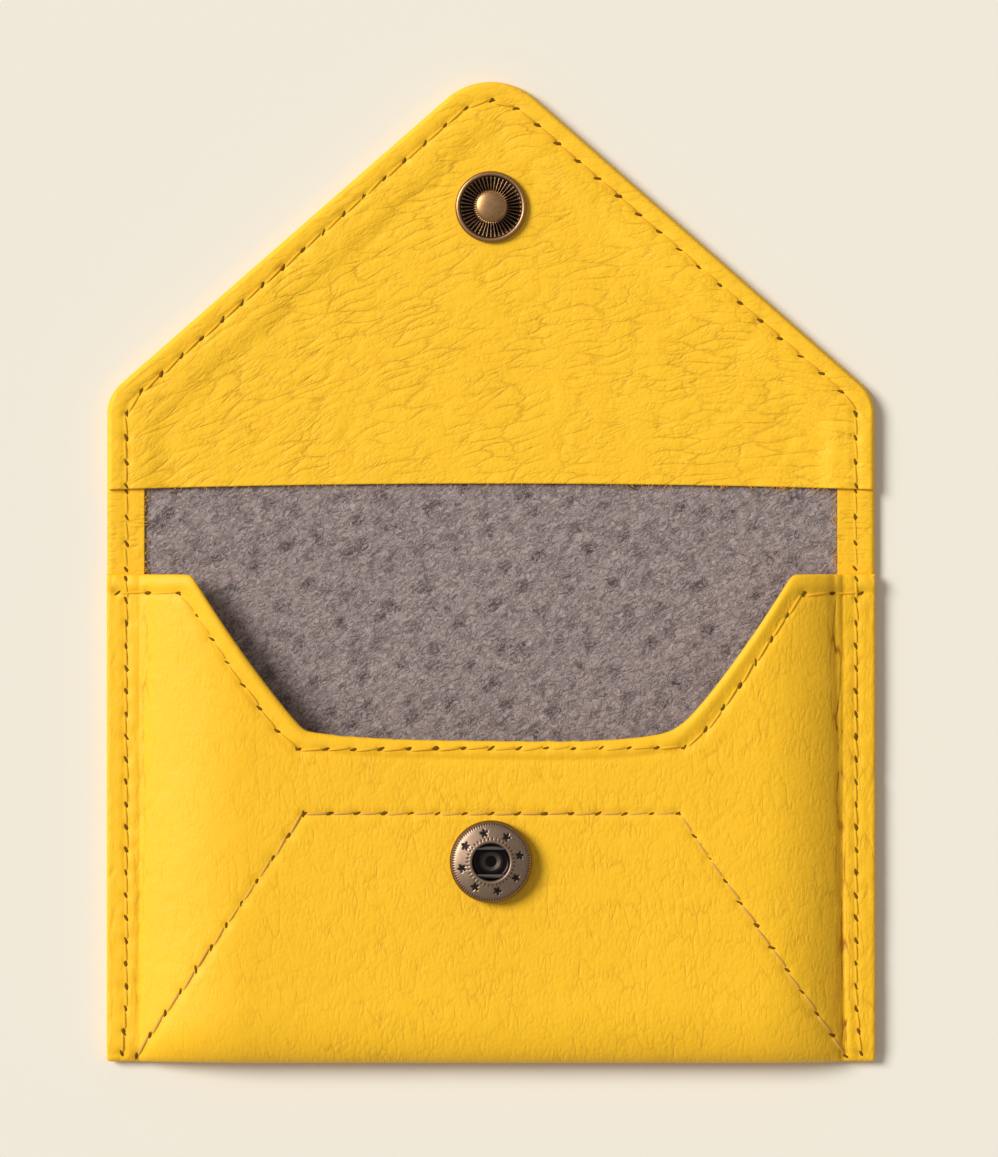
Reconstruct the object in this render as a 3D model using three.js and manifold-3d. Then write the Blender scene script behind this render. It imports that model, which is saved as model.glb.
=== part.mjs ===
// Envelope card wallet in yellow leather, lying open on its back. All lengths are in millimetres.
// One leather sheet makes the back, the bottom fold and the puffed front pocket, with its side edges
// turned in and its mouth hemmed. A pointed flap turns on the leather band above the pocket, and a
// four-part spring snap holds it shut. +Z points up from the table, +Y towards the flap's tip.
import * as THREE from "three";
import { mergeVertices } from "three/addons/utils/BufferGeometryUtils.js";
import Module from "manifold-3d";

const wasm = await Module();
wasm.setup();

// Outline. Heights are measured up the wallet from the bottom fold.
const width = 114.2;
const openHeight = 145.7;
const foldHeight = 78.4; // the line on which the flap turns
const bandBelow = 5.9; // from the fold line down to the top of the pocket's ears
const bandAbove = 6.6; // from the fold line up to the facing's cut edge
const facingEdgeBow = 0.9; // how much higher the facing's cut edge is in the middle
const flapSlope = THREE.MathUtils.degToRad(41.2);
const tipRadius = 10;
const shoulderRadius = 6;

// The mouth of the pocket, a trapezoid cut down between two ears.
const mouthTopHalf = 44.3;
const mouthBottomHalf = 27.6;
const mouthAboveSocket = 19.25; // from the socket's middle up to the mouth's lower corners
const mouthSag = 1.3; // how much lower the middle of the mouth is than its corners
const mouthBow = 1; // how far the slanted sides curve in below a straight line

// Sheet thicknesses.
const leather = 0.8;
const suede = 0.4;
const skived = 0.4; // a turned edge that is pared thin before it is folded under

// Turned edges and hem.
const turnedWidth = 5.6;
const hemWidth = 5.5;
const edgeRound = 0.35; // how far in from a folded edge its rounding reaches
const edgeInset = 0.3; // how much thinner each side of a sheet is at the very edge
const facingInset = 0.25; // the facing's cut edge lies this far inside the folded edge
const rampWidth = 1.6; // the run over which the facing comes down off the turned edge
const bond = 0.04; // glued layers of one sheet press this far into each other

// The puffed pocket.
const seamWidth = 4.9; // flat border that the side seams run through
const pocketRise = 7.4; // the front's outer face above the table in the middle
const slopeRun = 14; // the run over which each side of the front swells up from its seam
const bottomStretch = 2.2; // how far the front half of the bottom fold is drawn out

// The fold, where the leather band bends when the flap closes.
const foldGap = 0.3;
const axisHeight = 4.6; // the band wraps round a line this far above the table

// The snap.
const studBelowTip = 18.7; // from the flap's tip down to the stud's axis
const runningGap = 0.05;
const postRadius = 1.3;
const postBore = 0.85;
const postHoleRadius = 1.45;
const studRadius = 5.3;
const studRimHeight = 0.9;
const studHeight = 3.2;
const studHeadRadius = 2.22;
const studNeckRadius = 1.65;
const gripHeight = 2; // where the spring grips the neck, above the facing
const flangeRadius = 4.9;
const flangeThickness = 0.5;
const socketRadius = 6.05;
const socketHeight = 3;
const socketHoleRadius = 2.75;
const socketGrooveRadius = 4.3;
const socketBase = 0.35;
const capRadius = 6.2;
const capThickness = 0.5;
const wireRadius = 0.3;
const wireLevel = 2.1; // the spring's middle above the front
const wireOffset = 2.05; // from the snap's axis to each straight bar of the spring
const wireBarHalf = 2.65;
const wireSplit = THREE.MathUtils.degToRad(16); // the opening between the spring's two ends

// Sizes that follow from those above.
const half = width / 2;
const apexHeight = openHeight + tipRadius * (1 / Math.cos(flapSlope) - 1);
const earHeight = foldHeight - bandBelow;
const rimTop = 2 * leather;
const liningTop = leather + suede;
const facingTop = liningTop + leather;
const seamTop = rimTop + skived + leather - bond;
const seamInnerHalf = half - seamWidth;
const studY = openHeight - studBelowTip;
const snapReach = studY - foldHeight;
const gripDepth = axisHeight - facingTop - gripHeight;
const gripRise = pocketRise + wireLevel - axisHeight;

// The closed flap stops this angle short of half a turn, where the stud sits in the socket's spring.
const closedTilt =
  Math.asin(gripRise / Math.hypot(snapReach, gripDepth)) - Math.atan2(gripDepth, snapReach);
const socketY =
  foldHeight - snapReach * Math.cos(closedTilt) + gripDepth * Math.sin(closedTilt);
const cornerHeight = socketY + mouthAboveSocket;
const mouthDepth = earHeight - cornerHeight;

const yellowLeather = new THREE.MeshStandardMaterial({
  name: "yellow leather", color: 0xf9c12f, roughness: 0.55, metalness: 0,
});
const taupeSuede = new THREE.MeshStandardMaterial({
  name: "taupe suede", color: 0x8a7a78, roughness: 0.95, metalness: 0,
});
const agedBrass = new THREE.MeshStandardMaterial({
  name: "aged brass", color: 0x8f7350, roughness: 0.4, metalness: 1,
});
const springSteel = new THREE.MeshStandardMaterial({
  name: "spring steel", color: 0x8c8a84, roughness: 0.3, metalness: 1,
});

// Turns a closed geometry into a solid that can be joined and cut.
function solidOf(geometry) {
  const bare = geometry.index ? geometry.toNonIndexed() : geometry.clone();
  bare.deleteAttribute("normal");
  bare.deleteAttribute("uv");
  const merged = mergeVertices(bare, 1e-4);
  const corners = [...merged.index.array];
  const triangles = [];
  for (let n = 0; n < corners.length; n += 3) {
    const [a, b, c] = corners.slice(n, n + 3);
    if (a !== b && b !== c && c !== a) {
      triangles.push(a, b, c);
    }
  }
  return new wasm.Manifold(
    new wasm.Mesh({
      numProp: 3,
      vertProperties: new Float32Array(merged.attributes.position.array),
      triVerts: new Uint32Array(triangles),
    }),
  );
}

function geometryOf(solid) {
  const mesh = solid.getMesh();
  const geometry = new THREE.BufferGeometry();
  geometry.setAttribute("position", new THREE.BufferAttribute(mesh.vertProperties, 3));
  geometry.setIndex(new THREE.BufferAttribute(mesh.triVerts, 1));
  geometry.computeVertexNormals();
  return geometry;
}

function geometryFrom(points, triangles) {
  const geometry = new THREE.BufferGeometry();
  geometry.setAttribute(
    "position",
    new THREE.BufferAttribute(new Float32Array(points.flatMap((p) => [p.x, p.y, p.z])), 3),
  );
  geometry.setIndex(triangles);
  geometry.computeVertexNormals();
  return geometry;
}

// A closed sheet between two grids of points, outer and inner, each indexed [column][row].
function sheetBetween(outer, inner) {
  const columns = outer.length;
  const rows = outer[0].length;
  const points = [...outer.flat(), ...inner.flat()];
  const out = (i, j) => i * rows + j;
  const under = (i, j) => columns * rows + i * rows + j;
  const triangles = [];
  const quad = (a, b, c, d) => triangles.push(a, b, c, a, c, d);
  for (let i = 0; i < columns - 1; i++) {
    for (let j = 0; j < rows - 1; j++) {
      quad(out(i, j), out(i + 1, j), out(i + 1, j + 1), out(i, j + 1));
      quad(under(i, j), under(i, j + 1), under(i + 1, j + 1), under(i + 1, j));
    }
    quad(under(i, 0), under(i + 1, 0), out(i + 1, 0), out(i, 0));
    const last = rows - 1;
    quad(out(i, last), out(i + 1, last), under(i + 1, last), under(i, last));
  }
  for (let j = 0; j < rows - 1; j++) {
    quad(out(0, j), out(0, j + 1), under(0, j + 1), under(0, j));
    const last = columns - 1;
    quad(under(last, j), under(last, j + 1), out(last, j + 1), out(last, j));
  }
  return geometryFrom(points, triangles);
}

// A turned solid about Z. The profile lists [radius, height], runs upwards on the outside, and either
// starts and ends on the axis or closes on itself.
function turnedSolid(profile, segments) {
  const onAxis = profile[0][0] === 0;
  const loop = onAxis ? profile : [...profile, profile[0]];
  const points = loop.map(([radius, height]) => new THREE.Vector2(radius, height));
  return solidOf(new THREE.LatheGeometry(points, segments).rotateX(Math.PI / 2));
}

// A closed solid through outlines with equal numbers of points, each { ring, z }. It is built from the
// middle of the underside outwards, up and back in, and the first and last outlines are capped.
function throughOutlines(levels) {
  const count = levels[0].ring.length;
  const points = levels.flatMap(({ ring, z }) => ring.map((p) => new THREE.Vector3(p.x, p.y, z)));
  const triangles = [];
  for (let k = 0; k < levels.length - 1; k++) {
    for (let i = 0; i < count; i++) {
      const a = k * count + i;
      const b = k * count + ((i + 1) % count);
      triangles.push(a, b, b + count, a, b + count, a + count);
    }
  }
  const top = (levels.length - 1) * count;
  for (const [a, b, c] of THREE.ShapeUtils.triangulateShape(levels[0].ring, [])) {
    triangles.push(a, c, b);
  }
  for (const [a, b, c] of THREE.ShapeUtils.triangulateShape(levels.at(-1).ring, [])) {
    triangles.push(top + a, top + b, top + c);
  }
  return solidOf(geometryFrom(points, triangles));
}

// A straight hole along Z, from low to high.
function drill(radius, x, y, low, high, segments = 32) {
  const tool = new THREE.CylinderGeometry(radius, radius, high - low, segments);
  return solidOf(tool.rotateX(Math.PI / 2).translate(x, y, (low + high) / 2));
}

// Height of the mouth's edge at x, or of a line that runs a distance inset below it.
function mouthHeight(x, inset = 0) {
  const reach = Math.abs(x);
  const slant = mouthDepth / (mouthTopHalf - mouthBottomHalf);
  const along = THREE.MathUtils.clamp(
    (reach - mouthBottomHalf) / (mouthTopHalf - mouthBottomHalf), 0, 1,
  );
  const side = cornerHeight + (reach - mouthBottomHalf) * slant - 4 * mouthBow * along * (1 - along);
  const inside = Math.min(reach / mouthBottomHalf, 1);
  const floor = cornerHeight - mouthSag * (1 - inside ** 3);
  const lowered = Math.max(floor - inset, side - inset * Math.hypot(1, slant));
  return Math.min(earHeight - inset, lowered);
}

// Height of the front's outer face above the table. It swells up from the seam like a pillow.
function frontRise(x) {
  const swell = THREE.MathUtils.clamp((seamInnerHalf - Math.abs(x)) / slopeRun, 0, 1);
  return seamTop + (pocketRise - seamTop) * (1 - (1 - swell) ** 2);
}

const foldSteps = 8;
const frontSteps = 6;
const backOverlap = 4; // how far the front's sheet runs on inside the back's, where they are one
const backStart = 1; // the back begins this far past the bottom fold's curve

// The outer face of the front sheet at x, from the back, round the bottom fold and up to the mouth.
// Each entry gives the point, the sheet's thickness there and how much both faces draw in at an edge.
function frontPath(x) {
  const rise = frontRise(x);
  const inSeam = Math.abs(x) > half - turnedWidth;
  const body = inSeam ? leather + skived : leather;
  const path = [
    { y: rise / 2 + backOverlap, z: leather / 4, thickness: body - leather / 2, drawIn: 0 },
  ];
  for (let k = 0; k <= foldSteps; k++) {
    const angle = (Math.PI * k) / foldSteps;
    const depth = k > foldSteps / 2 ? (bottomStretch * rise) / 2 : rise / 2;
    const centre = k > foldSteps / 2 ? depth : rise / 2;
    path.push({
      y: centre - depth * Math.sin(angle),
      z: (rise / 2) * (1 - Math.cos(angle)),
      thickness: body,
      drawIn: 0,
    });
  }
  const low = (bottomStretch * rise) / 2;
  const high = mouthHeight(x, hemWidth + skived);
  for (let k = 1; k < frontSteps; k++) {
    path.push({ y: low + ((high - low) * k) / frontSteps, z: rise, thickness: body, drawIn: 0 });
  }
  path.push({ y: high, z: rise, thickness: body, drawIn: 0 });
  for (const inset of [hemWidth, hemWidth / 2, edgeRound, 0]) {
    path.push({
      y: mouthHeight(x, inset),
      z: rise,
      thickness: leather + skived,
      drawIn: inset === 0 ? edgeInset : 0,
    });
  }
  return path;
}

// Columns across the pocket: every x at which its form changes, with even steps between them.
function pocketColumns() {
  const keys = [
    0, mouthBottomHalf, seamInnerHalf - slopeRun, mouthTopHalf, seamInnerHalf,
    half - turnedWidth + runningGap, half - turnedWidth - runningGap,
    half - edgeRound, half,
  ].sort((a, b) => a - b);
  const right = [0];
  for (let k = 1; k < keys.length; k++) {
    const span = keys[k] - keys[k - 1];
    const step = keys[k] > mouthBottomHalf ? 2.2 : 5.5;
    const count = Math.ceil(span / step);
    for (let n = 1; n <= count; n++) {
      right.push(keys[k - 1] + (span * n) / count);
    }
  }
  return [...right.slice(1).reverse().map((x) => -x), ...right];
}

// The front of the pocket and the bottom fold, as one sheet.
function frontSheet() {
  const nudge = 0.01;
  const outer = [];
  const inner = [];
  for (const x of pocketColumns()) {
    const here = frontPath(x);
    const left = frontPath(x - nudge);
    const right = frontPath(x + nudge);
    const sideDrawIn = half - Math.abs(x) < edgeRound / 2 ? edgeInset : 0;
    const outerColumn = [];
    const innerColumn = [];
    here.forEach((spot, j) => {
      const before = here[Math.max(j - 1, 0)];
      const after = here[Math.min(j + 1, here.length - 1)];
      const across = new THREE.Vector3(2 * nudge, right[j].y - left[j].y, right[j].z - left[j].z);
      const along = new THREE.Vector3(0, after.y - before.y, after.z - before.z);
      const normal = across.cross(along).normalize();
      if (sideDrawIn || Math.abs(x) > seamInnerHalf) {
        normal.setX(0).normalize();
      }
      const drawIn = Math.max(spot.drawIn, sideDrawIn);
      const point = new THREE.Vector3(x, spot.y, spot.z);
      outerColumn.push(point.clone().addScaledVector(normal, -drawIn));
      innerColumn.push(point.clone().addScaledVector(normal, drawIn - spot.thickness));
    });
    outer.push(outerColumn);
    inner.push(innerColumn);
  }
  return solidOf(sheetBetween(outer, inner));
}

// One turned side edge of the back, in section, on the side that sign gives.
function rimSection(sign) {
  const corners = [
    [half - turnedWidth, 0], [half - edgeRound, 0], [half, edgeInset],
    [half, rimTop - edgeInset], [half - edgeRound, rimTop], [half - turnedWidth, rimTop],
  ];
  return new THREE.Shape(corners.map(([x, z]) => new THREE.Vector2(sign * x, z)));
}

// A section in X and Z drawn out along Y.
function drawnAlong(section, from, to) {
  const geometry = new THREE.ExtrudeGeometry(section, { depth: to - from, bevelEnabled: false });
  return solidOf(geometry.rotateX(Math.PI / 2).translate(0, to, 0));
}

// The back of the wallet up to the fold line, with both side edges turned in.
function backSheet() {
  const end = foldHeight - foldGap / 2;
  const reach = half - turnedWidth + bond;
  const plate = new THREE.Shape(
    [[-reach, 0], [reach, 0], [reach, leather], [-reach, leather]].map(([x, z]) => new THREE.Vector2(x, z)),
  );
  return drawnAlong(plate, pocketRise / 2 + backStart, end)
    .add(drawnAlong(rimSection(1), seamTop / 2 + backStart, end))
    .add(drawnAlong(rimSection(-1), seamTop / 2 + backStart, end));
}

// The whole folded sheet: back, bottom fold and front, with the hole for the socket's post.
function shell() {
  const post = drill(postHoleRadius, 0, socketY, pocketRise - 2, pocketRise + 1);
  return frontSheet().add(backSheet()).subtract(post);
}

// Suede glued to the back between its turned edges.
function pocketLining() {
  const reach = half - turnedWidth - runningGap;
  const section = new THREE.Shape(
    [[-reach, leather], [reach, leather], [reach, liningTop], [-reach, liningTop]].map(
      ([x, z]) => new THREE.Vector2(x, z),
    ),
  );
  return drawnAlong(section, pocketRise / 2 + 2, foldHeight - foldGap / 2);
}

// The pointed outline of the flap, a distance inset in from its edge, run on below the fold line.
function flapOutline(inset) {
  const side = half - inset;
  const peak = apexHeight - inset / Math.cos(flapSlope);
  const shoulder = Math.max(shoulderRadius - inset, 0.8);
  const tip = Math.max(tipRadius - inset, 0.8);
  const shoulderY =
    peak - (shoulder + (side - shoulder) * Math.sin(flapSlope)) / Math.cos(flapSlope);
  const turn = Math.PI / 2 - flapSlope;
  const outline = new THREE.Path();
  outline.moveTo(-side, foldHeight - 2 * turnedWidth + inset);
  outline.lineTo(side, foldHeight - 2 * turnedWidth + inset);
  outline.absarc(side - shoulder, shoulderY, shoulder, 0, turn, false);
  outline.absarc(0, peak - tip / Math.cos(flapSlope), tip, turn, Math.PI - turn, false);
  outline.absarc(shoulder - side, shoulderY, shoulder, Math.PI - turn, Math.PI, false);
  return outline.getPoints(10);
}

// Everything below a line across the wallet, which may bow upwards in the middle, as a cutting tool.
function below(y, bow = 0) {
  const area = new THREE.Shape();
  area.moveTo(-width, y - openHeight);
  area.lineTo(width, y - openHeight);
  area.lineTo(width, y);
  area.lineTo(half, y);
  area.quadraticCurveTo(0, y + 2 * bow, -half, y);
  area.lineTo(-width, y);
  const tool = new THREE.ExtrudeGeometry(area, { depth: width, curveSegments: 12, bevelEnabled: false });
  return solidOf(tool.translate(0, 0, -half));
}

const studHole = () => drill(postHoleRadius, 0, studY, -1, facingTop + 1);

// The flap's outer leather, with its edge turned in all round and a seat pressed for the stud's flange.
function flapOuter() {
  const level = (inset, z) => ({ ring: flapOutline(inset), z });
  const seat = drill(flangeRadius + runningGap, 0, studY, -1, flangeThickness, 48);
  return throughOutlines([
    level(edgeRound, 0),
    level(0, edgeInset),
    level(0, rimTop - edgeInset),
    level(edgeRound, rimTop),
    level(turnedWidth, rimTop),
    level(turnedWidth, leather),
  ])
    .subtract(below(foldHeight + foldGap / 2))
    .subtract(seat)
    .subtract(studHole());
}

// Suede inside the flap's turned edge.
function flapLining() {
  const ring = flapOutline(turnedWidth + runningGap);
  return throughOutlines([{ ring, z: leather }, { ring, z: liningTop }])
    .subtract(below(foldHeight + foldGap / 2))
    .subtract(studHole());
}

// The facing laid over the turned edge and the suede, with one cut edge beside the band.
function flapFacing() {
  const level = (inset, z) => ({ ring: flapOutline(inset), z });
  const inner = turnedWidth + rampWidth;
  return throughOutlines([
    level(inner, liningTop),
    level(turnedWidth + runningGap, rimTop),
    level(facingInset, rimTop),
    level(facingInset, rimTop + leather - edgeInset),
    level(facingInset + edgeRound, rimTop + leather),
    level(turnedWidth, rimTop + leather),
    level(inner, facingTop),
  ])
    .subtract(below(foldHeight + bandAbove, facingEdgeBow))
    .subtract(studHole());
}

// The stud: a rolled rim round a shallow dish, and a hollow neck with a rounded head.
function snapStud() {
  const dish = 0.5;
  const profile = [
    [0, studHeight - 0.4],
    [postHoleRadius, studHeight - 0.7],
    [postHoleRadius, 0],
    [studRadius - 0.25, 0],
    [studRadius, 0.25],
    [studRadius, studRimHeight - 0.3],
    [studRadius - 0.25, studRimHeight],
    [studRadius - 0.6, studRimHeight - 0.05],
    [studRadius - 0.85, dish],
    [studNeckRadius + 0.6, dish - 0.1],
    [studNeckRadius, dish + 0.2],
    [studNeckRadius, gripHeight + wireRadius],
    [studHeadRadius, gripHeight + wireRadius + 0.25],
    [studHeadRadius - 0.05, studHeight - 0.45],
    [studHeadRadius * 0.75, studHeight - 0.13],
    [studHeadRadius * 0.4, studHeight - 0.02],
    [0, studHeight],
  ];
  return turnedSolid(profile, 44);
}

// The flange on the flap's outer face, with the hollow post that the stud is pressed over.
function studPost() {
  const top = facingTop + studHeight - 0.9;
  const profile = [
    [0, top - 0.35],
    [postBore, top - 0.35],
    [postBore, 0],
    [flangeRadius - 0.15, 0],
    [flangeRadius, 0.15],
    [flangeRadius, flangeThickness],
    [postRadius, flangeThickness],
    [postRadius, top - 0.15],
    [postRadius - 0.15, top],
    [0, top],
  ];
  return turnedSolid(profile, 36);
}

// The socket: a domed disc round a hole, with a groove under its lip that holds the spring.
function snapSocket() {
  const clearance = wireRadius + 2 * runningGap;
  const profile = [
    [postHoleRadius, 0],
    [socketRadius - 0.25, 0],
    [socketRadius, 0.25],
    [socketRadius, 0.75],
    [socketRadius - 0.35, 1.4],
    [socketRadius - 1, 2.2],
    [socketRadius - 1.85, 2.75],
    [socketHoleRadius + 0.7, socketHeight],
    [socketHoleRadius + 0.25, socketHeight - 0.04],
    [socketHoleRadius, socketHeight - 0.3],
    [socketHoleRadius, wireLevel + clearance],
    [socketGrooveRadius, wireLevel + clearance - 0.05],
    [socketGrooveRadius, wireLevel - clearance],
    [socketHoleRadius, wireLevel - clearance],
    [socketHoleRadius, socketBase],
    [postHoleRadius, socketBase],
  ];
  return turnedSolid(profile, 48);
}

// The split wire spring: two bars that flank the stud's neck, joined by arcs that lie in the groove.
function snapSpring() {
  const radius = Math.hypot(wireBarHalf, wireOffset);
  const bend = Math.atan2(wireOffset, wireBarHalf);
  const points = [];
  const arc = (from, to, steps) => {
    for (let k = 0; k <= steps; k++) {
      const angle = from + ((to - from) * k) / steps;
      points.push(new THREE.Vector3(radius * Math.cos(angle), radius * Math.sin(angle), 0));
    }
  };
  const bar = (sign) => {
    for (const share of [0.8, 0.4, 0, -0.4, -0.8]) {
      points.push(new THREE.Vector3(sign * share * wireBarHalf, sign * wireOffset, 0));
    }
  };
  arc(wireSplit / 2, bend, 3);
  bar(1);
  arc(Math.PI - bend, Math.PI + bend, 6);
  bar(-1);
  arc(2 * Math.PI - bend, 2 * Math.PI - wireSplit / 2, 3);
  const section = new THREE.Shape().absarc(0, 0, wireRadius, 0, 2 * Math.PI, false);
  const wire = new THREE.ExtrudeGeometry(section, {
    steps: 44,
    curveSegments: 4,
    extrudePath: new THREE.CatmullRomCurve3(points),
    bevelEnabled: false,
  });
  return solidOf(wire);
}

// The disc inside the pocket that carries the socket on a hollow post with a peened end.
function socketCap() {
  const seat = capThickness + leather + socketBase;
  const profile = [
    [0, 0],
    [capRadius - 0.15, 0],
    [capRadius, 0.15],
    [capRadius, capThickness],
    [postRadius, capThickness],
    [postRadius, seat],
    [postRadius + 0.55, seat],
    [postRadius + 0.5, seat + 0.15],
    [postRadius + 0.1, seat + 0.25],
    [postBore, seat + 0.12],
    [postBore, capThickness],
    [0, capThickness],
  ];
  return turnedSolid(profile, 36);
}

function piece(name, solid, material, x = 0, y = 0, z = 0) {
  const mesh = new THREE.Mesh(geometryOf(solid), material);
  mesh.name = name;
  mesh.position.set(x, y, z);
  return mesh;
}

const pocket = new THREE.Group();
pocket.add(
  piece("shell", shell(), yellowLeather),
  piece("pocket_lining", pocketLining(), taupeSuede),
  piece("socket_cap", socketCap(), agedBrass, 0, socketY, pocketRise - leather - capThickness),
  piece("snap_socket", snapSocket(), agedBrass, 0, socketY, pocketRise),
  piece("snap_spring", snapSpring(), springSteel, 0, socketY, pocketRise + wireLevel),
);

const flap = new THREE.Group();
flap.add(
  piece("flap_outer", flapOuter(), yellowLeather),
  piece("flap_lining", flapLining(), taupeSuede),
  piece("flap_facing", flapFacing(), yellowLeather),
  piece("stud_post", studPost(), agedBrass, 0, studY, 0),
  piece("snap_stud", snapStud(), agedBrass, 0, studY, facingTop),
);

const wallet = new THREE.Group();
wallet.add(pocket, flap);
wallet.position.y = -openHeight / 2;

export default wallet;
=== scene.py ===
"""Looks of an envelope wallet in yellow leather that lies open on its back.

The leather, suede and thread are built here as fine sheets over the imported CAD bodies, and the
stud, its rivet and the socket are turned here with their ribs, beads and stars. Lengths are in
millimetres in the wallet's own plan, with y measured up from the bottom fold, and become metres as
each mesh is made.
"""

import logging
import math
from collections.abc import Callable
from dataclasses import dataclass, field
from enum import Enum

import bpy
import numpy as np
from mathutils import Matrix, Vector

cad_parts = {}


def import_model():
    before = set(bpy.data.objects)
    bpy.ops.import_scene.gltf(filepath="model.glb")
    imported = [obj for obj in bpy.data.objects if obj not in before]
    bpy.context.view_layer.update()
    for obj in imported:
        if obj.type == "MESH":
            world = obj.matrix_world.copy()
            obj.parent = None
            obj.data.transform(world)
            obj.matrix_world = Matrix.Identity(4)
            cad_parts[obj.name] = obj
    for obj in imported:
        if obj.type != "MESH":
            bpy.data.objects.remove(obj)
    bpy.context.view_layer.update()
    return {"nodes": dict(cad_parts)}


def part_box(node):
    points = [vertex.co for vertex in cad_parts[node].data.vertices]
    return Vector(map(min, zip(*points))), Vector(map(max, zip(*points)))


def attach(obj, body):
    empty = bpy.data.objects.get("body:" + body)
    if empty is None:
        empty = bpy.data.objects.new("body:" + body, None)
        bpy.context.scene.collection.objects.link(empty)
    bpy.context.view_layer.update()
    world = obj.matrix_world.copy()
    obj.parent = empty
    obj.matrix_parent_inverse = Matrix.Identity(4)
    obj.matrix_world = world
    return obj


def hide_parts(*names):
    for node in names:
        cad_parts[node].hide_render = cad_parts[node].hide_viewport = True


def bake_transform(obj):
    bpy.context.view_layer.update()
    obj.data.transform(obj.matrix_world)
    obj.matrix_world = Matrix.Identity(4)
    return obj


LOG = logging.getLogger("wallet")
MM = 0.001
OPEN_HEIGHT = 145.7
TO_LINEAR_KNEE = 0.04045
LATTICE = 256  # cells of the random lattice before it repeats
EDGE_RUN = 2.4  # width of the strip along a sheet's edge in which its rows and columns lie close
EDGE_COLUMNS = (2.0, 1.6, 1.2, 0.9, 0.65, 0.45, 0.28, 0.15, 0.06, 0.0)
EDGE_ROWS = (1.4, 1.05, 0.75, 0.5, 0.3, 0.15, 0.05, 0.0)
TOP_RUN = 1.8  # width of the strip of close rows along the flap's outline
FOLD_STEPS = 25  # rows round the bottom fold, an odd number
FRONT_ROWS = 125
BACK_ROWS = 190
FACING_ROWS = 132
LINING_ROWS = 150

Socket = bpy.types.NodeSocket
Faces = tuple[np.ndarray, np.ndarray]  # points and the corner numbers of faces


class Body(Enum):
    """The two CAD bodies that the pieces move with."""

    POCKET = "pocket"
    FLAP = "flap"


class Slot(Enum):
    """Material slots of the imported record."""

    LEATHER = "yellow_leather"
    SUEDE = "taupe_suede"
    BRASS = "aged_brass"
    STEEL = "spring_steel"


def linear(colour: str) -> tuple[float, float, float, float]:
    """Turns an sRGB hex colour into the linear values that shaders take.

    Args:
        colour: Six hex digits, with or without a leading hash.

    Returns:
        Red, green, blue and an alpha of 1.
    """
    digits = colour.lstrip("#")
    values = []
    for start in (0, 2, 4):
        share = int(digits[start : start + 2], 16) / 255
        if share <= TO_LINEAR_KNEE:
            values.append(share / 12.92)
        else:
            values.append(((share + 0.055) / 1.055) ** 2.4)
    return (values[0], values[1], values[2], 1.0)


def rounding(depth: np.ndarray, radius: float) -> np.ndarray:
    """How far a rounded edge falls below its flat, at a distance in from the edge.

    Args:
        depth: Distance in from the edge, in mm.
        radius: Radius of the rounding, in mm.

    Returns:
        The drop at each distance, from the radius at the edge down to 0.
    """
    inward = radius - np.clip(depth, 0, radius)
    return radius - np.sqrt(np.clip(radius**2 - inward**2, 0, None))


def bell(distance: np.ndarray, width: float) -> np.ndarray:
    """A smooth bump of height 1 that fades over a width either side of 0."""
    return np.exp(-((distance / width) ** 2))


def ease(share: np.ndarray) -> np.ndarray:
    """A smooth step from 0 to 1 as share goes from 0 to 1."""
    held = np.clip(share, 0, 1)
    return held * held * (3 - 2 * held)


@dataclass(frozen=True)
class Relief:
    """Random relief over the flat leather, the same every time for one seed."""

    seed: int

    def swell(self, x: np.ndarray, y: np.ndarray, size: float) -> np.ndarray:
        """Smooth hills and hollows.

        Args:
            x: Place across, in mm.
            y: Place along, in mm.
            size: Distance between hills, in mm.

        Returns:
            Heights of about -1 to 1.
        """
        turns = np.random.default_rng(self.seed).random((LATTICE, LATTICE)) * 2 * math.pi
        u, v = x / size, y / size
        i, j = np.floor(u).astype(int), np.floor(v).astype(int)
        fu, fv = u - i, v - j

        def corner(di: int, dj: int) -> np.ndarray:
            """What one corner of each cell adds, by its random slope."""
            turn = turns[(i + di) % LATTICE, (j + dj) % LATTICE]
            return np.cos(turn) * (fu - di) + np.sin(turn) * (fv - dj)

        s = fu**3 * (fu * (fu * 6 - 15) + 10)
        t = fv**3 * (fv * (fv * 6 - 15) + 10)
        low = corner(0, 0) * (1 - s) + corner(1, 0) * s
        high = corner(0, 1) * (1 - s) + corner(1, 1) * s
        return 1.5 * (low * (1 - t) + high * t)

    def creases(
        self, x: np.ndarray, y: np.ndarray, size: float, width: float, turn: float, stretch: float
    ) -> np.ndarray:
        """Broken, wandering crease lines that run mostly one way.

        Args:
            x: Place across, in mm.
            y: Place along, in mm.
            size: Distance between creases, in mm.
            width: Half width of a crease, in mm.
            turn: Direction the creases run, in degrees from x.
            stretch: How much longer a crease is than the space between two.

        Returns:
            Depth of the creases, from 0 to 1.
        """
        angle = math.radians(turn)
        along = x * math.cos(angle) + y * math.sin(angle)
        across = y * math.cos(angle) - x * math.sin(angle)
        across = across + 0.35 * size * self.swell(x + 91, y - 37, size * 0.8)
        value = self.swell(along / stretch, across, size)
        shown = np.clip(0.45 + 1.3 * self.swell(x - 53, y + 71, size * 1.4), 0, 1)
        return bell(value * size / 1.5, width) * shown


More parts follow.
